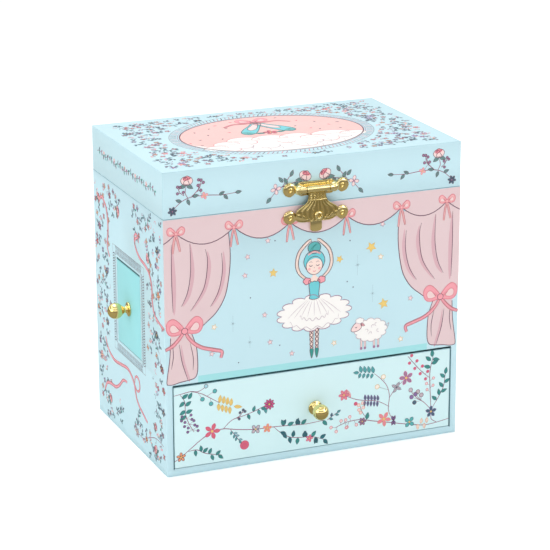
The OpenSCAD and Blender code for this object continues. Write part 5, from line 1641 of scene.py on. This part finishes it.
    bm = bmesh.new()  # lashes, brows
    for side in (-1, 1):
        lid = [onFace(side * (0.2 + 0.07 * n), 0.02 - 0.045 * math.sin(math.pi * n / 5),
                      0.02) for n in range(6)]
        tube(bm, [(*p, 0.06, 0.06) for p in lid], 6)
        for n in (1, 3, 5):
            p, q = lid[n], onFace(side * (0.2 + 0.085 * n), -0.1 + 0.012 * n, 0.06)
            tube(bm, [(*p, 0.035, 0.035), (*q, 0.02, 0.02)], 5)
        brow = [onFace(side * (0.18 + 0.09 * n), 0.27 + 0.05 * math.sin(math.pi * n / 4),
                       0.02) for n in range(5)]
        tube(bm, [(*p, 0.05, 0.04) for p in brow], 6)
    dollPiece("doll_lashes_and_brows", bm, dollLine)
    bm = bmesh.new()
    for side in (-1, 1):
        mouth = [onFace(side * 0.13 * n / 3, -0.425 - 0.015 * (n == 0) + 0.012 * n, 0.02) for n in range(4)]
        tube(bm, [(*p, 0.1 - 0.02 * n, 0.08) for n, p in enumerate(mouth)], 8)
    low = onFace(0, -0.49, 0.0)
    ball(bm, low, (0.24, 0.1, 0.11), 8)
    dollPiece("doll_lips", bm, dollLip)
    bm = bmesh.new()
    for side in (-1, 1):
        spot = onFace(side * 0.5, -0.27, -0.06)
        ball(bm, spot, (0.42, 0.16, 0.34), 10)
    dollPiece("doll_cheeks", bm, dollCheek)
    bm = bmesh.new()  # a small bow at the waist and a flower in the hair
    for side in (-1, 1):
        ball(bm, (side * 0.75, -1.75, 26.6), (0.62, 0.25, 0.42), 8)
        tube(bm, [(side * 0.2, -1.8, 26.4, 0.2, 0.07), (side * 0.7, -2.0, 25.5, 0.24, 0.06)], 8)
    ball(bm, (0, -1.85, 26.6), (0.28, 0.22, 0.28), 8)
    for n in range(5):
        a = math.tau * n / 5
        ball(bm, (1.35 + 0.3 * math.cos(a), -0.75, 40.6 + 0.3 * math.sin(a)), (0.24, 0.16, 0.24), 6)
    dollPiece("doll_bow_and_flower", bm, dollShoe)


tutuLow, tutuHigh = boxOf("dancer_tutu")
tutu = {
    "reach": (tutuHigh.x - tutuLow.x) / 2 - 0.12, "waist": 2.35,  # mm
    "layers": [(0.0, 1.0, 17), (-1.15, 0.96, 15), (-2.2, 0.9, 13)],  # drop in mm, share of the reach, ruffles
    "ruffle": 0.62,
}


def tulleLayer(k, drop, share, folds, material):
    steps, rings = 240, 18
    reach = tutu["reach"] * share
    centre = Vector((doll["x"], doll["y"], tutuHigh.z - 1.3))
    bm = bmesh.new()
    waist = tutu["waist"]
    spun(bm, [(waist + (reach - waist) * i / rings, 0) for i in range(rings + 1)], Matrix.Identity(4), steps)
    for v in bm.verts:
        r, a = math.hypot(v.co.x, v.co.y) / mm, math.atan2(v.co.y, v.co.x)
        t = max(0, (r - waist) / (reach - waist))
        wave = math.sin(folds * a + k * 1.3) + 0.35 * math.sin((folds * 2 + 3) * a + k)
        z = -1.4 * t + drop * t ** 0.7 + tutu["ruffle"] * t ** 0.9 * wave
        turn = a + 0.03 * math.cos(folds * a) * t
        r *= 1 - 0.015 * abs(math.sin(folds * a / 2)) * t
        v.co = (centre + Vector((r * math.cos(turn), r * math.sin(turn), z))) * mm
    area = sum(f.calc_area() for f in bm.faces)
    print(f"tulle layer {k}: {area / mm ** 2:.0f} square mm")
    return keep(f"tutu_layer_{k + 1}", bm, "dancer", [material], [] if k else ["dancer_tutu"],
                smooth=70)


# stiff net: white with a see-through weave and a faint pink blush towards the folds
tulle = madeOf("stiff white tulle", ((3.0, 3), "#ffffff", "#fae6e6"), None, ((0.25, 2), 0.05),
               Roughness=0.7, Alpha=0.86, Sheen_Weight=0.3)
dancer()
# each layer of net prints its area in square millimetres
for k, (drop, share, folds) in enumerate(tutu["layers"]):
    tulleLayer(k, drop, share, folds, tulle)
print("stage 6: dancer")
# camera, light and floor

def studio():
    scene = bpy.context.scene
    scene.view_settings.view_transform = "Standard"
    az, el, roll = (math.radians(camera[k]) for k in ("azimuth", "elevation", "roll"))
    back = Vector((math.sin(az) * math.cos(el), -math.cos(az) * math.cos(el), math.sin(el)))
    eye = bpy.data.objects.new("camera", bpy.data.cameras.new("camera"))
    scene.collection.objects.link(eye)
    eye.data.lens = camera["lens"]
    eye.data.sensor_width = 36
    eye.location = (Vector(camera["aim"]) + back * camera["distance"]) * mm
    eye.rotation_mode = "QUATERNION"
    eye.rotation_quaternion = (-back).to_track_quat("-Z", "Y") @ Matrix.Rotation(-roll, 3,
                                                                                 "Z").to_quaternion()
    eye.data.clip_start, eye.data.clip_end = 0.05, 50
    scene.camera = eye

    world = bpy.data.worlds.new("studio")
    scene.world = world
    world.use_nodes = True
    tree = world.node_tree
    tree.nodes.clear()

    def add(kind, inputs=None, **settings):
        return addNode(world, kind, inputs, **settings)

    way = add("ShaderNodeTexCoord").outputs["Generated"]
    high = add("ShaderNodeSeparateXYZ", {0: way}).outputs[2]
    ramp = add("ShaderNodeValToRGB", {0: high})
    stops = [(0.0, 0.22), (0.14, 0.25), (0.22, 1.35), (0.42, 1.35), (0.5, 0.1), (0.58, 0.12), (0.64, 1.6),
             (0.78, 1.8), (0.84, 0.4), (1.0, 1.2)]
    while len(ramp.color_ramp.elements) < len(stops):
        ramp.color_ramp.elements.new(0.5)
    for element, (place, level) in zip(ramp.color_ramp.elements, stops):
        element.position = place
        element.color = (level, level, level, 1)
    light = add("ShaderNodeLightPath")
    shiny = add("ShaderNodeBackground", {"Color": ramp.outputs[0], "Strength": 1.0})
    soft = add("ShaderNodeBackground", {"Color": (1, 1, 1, 1), "Strength": 0.54})
    white = add("ShaderNodeBackground", {"Color": (1, 1, 1, 1), "Strength": 1.05})
    first = add("ShaderNodeMixShader", {0: light.outputs["Is Glossy Ray"], 1: soft.outputs[0],
                                        2: shiny.outputs[0]})
    last = add("ShaderNodeMixShader", {0: light.outputs["Is Camera Ray"], 1: first.outputs[0],
                                       2: white.outputs[0]})
    add("ShaderNodeOutputWorld", {0: last.outputs[0]})

    lamps = {"key": ((720, -860, 760), 500, 2.9), "fill": ((-1150, -260, 480), 800, 2.75),
             "top": ((-120, 420, 1300), 900, 9.0)}
    for name, (place, size, power) in lamps.items():
        lamp = bpy.data.objects.new(name, bpy.data.lights.new(name, "AREA"))
        scene.collection.objects.link(lamp)
        lamp.data.size = size * mm
        lamp.data.energy = power
        lamp.location = Vector(place) * mm
        lamp.rotation_mode = "QUATERNION"
        lamp.rotation_quaternion = (Vector((0, 0, 80)) - Vector(place)).to_track_quat("-Z", "Y")

    bm = bmesh.new()
    bmesh.ops.create_grid(bm, x_segments=4, y_segments=4, size=15)
    bmesh.ops.translate(bm, vec=(0, 0, -0.0002), verts=bm.verts)
    mesh = bpy.data.meshes.new("floor")
    bm.to_mesh(mesh)
    bm.free()
    floor = bpy.data.objects.new("floor", mesh)
    scene.collection.objects.link(floor)
    # seamless white paper, lit to plain white; its mirror image in the brass is the darker table beyond it
    paper, shader = newMaterial("seamless white backdrop paper", Base_Color=linear("#fbfbfb"), Roughness=0.9,
                                Emission_Color=(1, 1, 1, 1), Emission_Strength=0.34)
    dark = addNode(paper, "ShaderNodeBsdfDiffuse", {"Color": linear("#a8a294")})
    path = addNode(paper, "ShaderNodeLightPath")
    both = addNode(paper, "ShaderNodeMixShader", {0: path.outputs["Is Glossy Ray"], 1: shader.outputs[0],
                                                  2: dark.outputs[0]})
    link(paper, both.outputs[0], paper.node_tree.nodes["Material Output"].inputs["Surface"])
    mesh.materials.append(paper)


studio()
print("stage 7: studio")
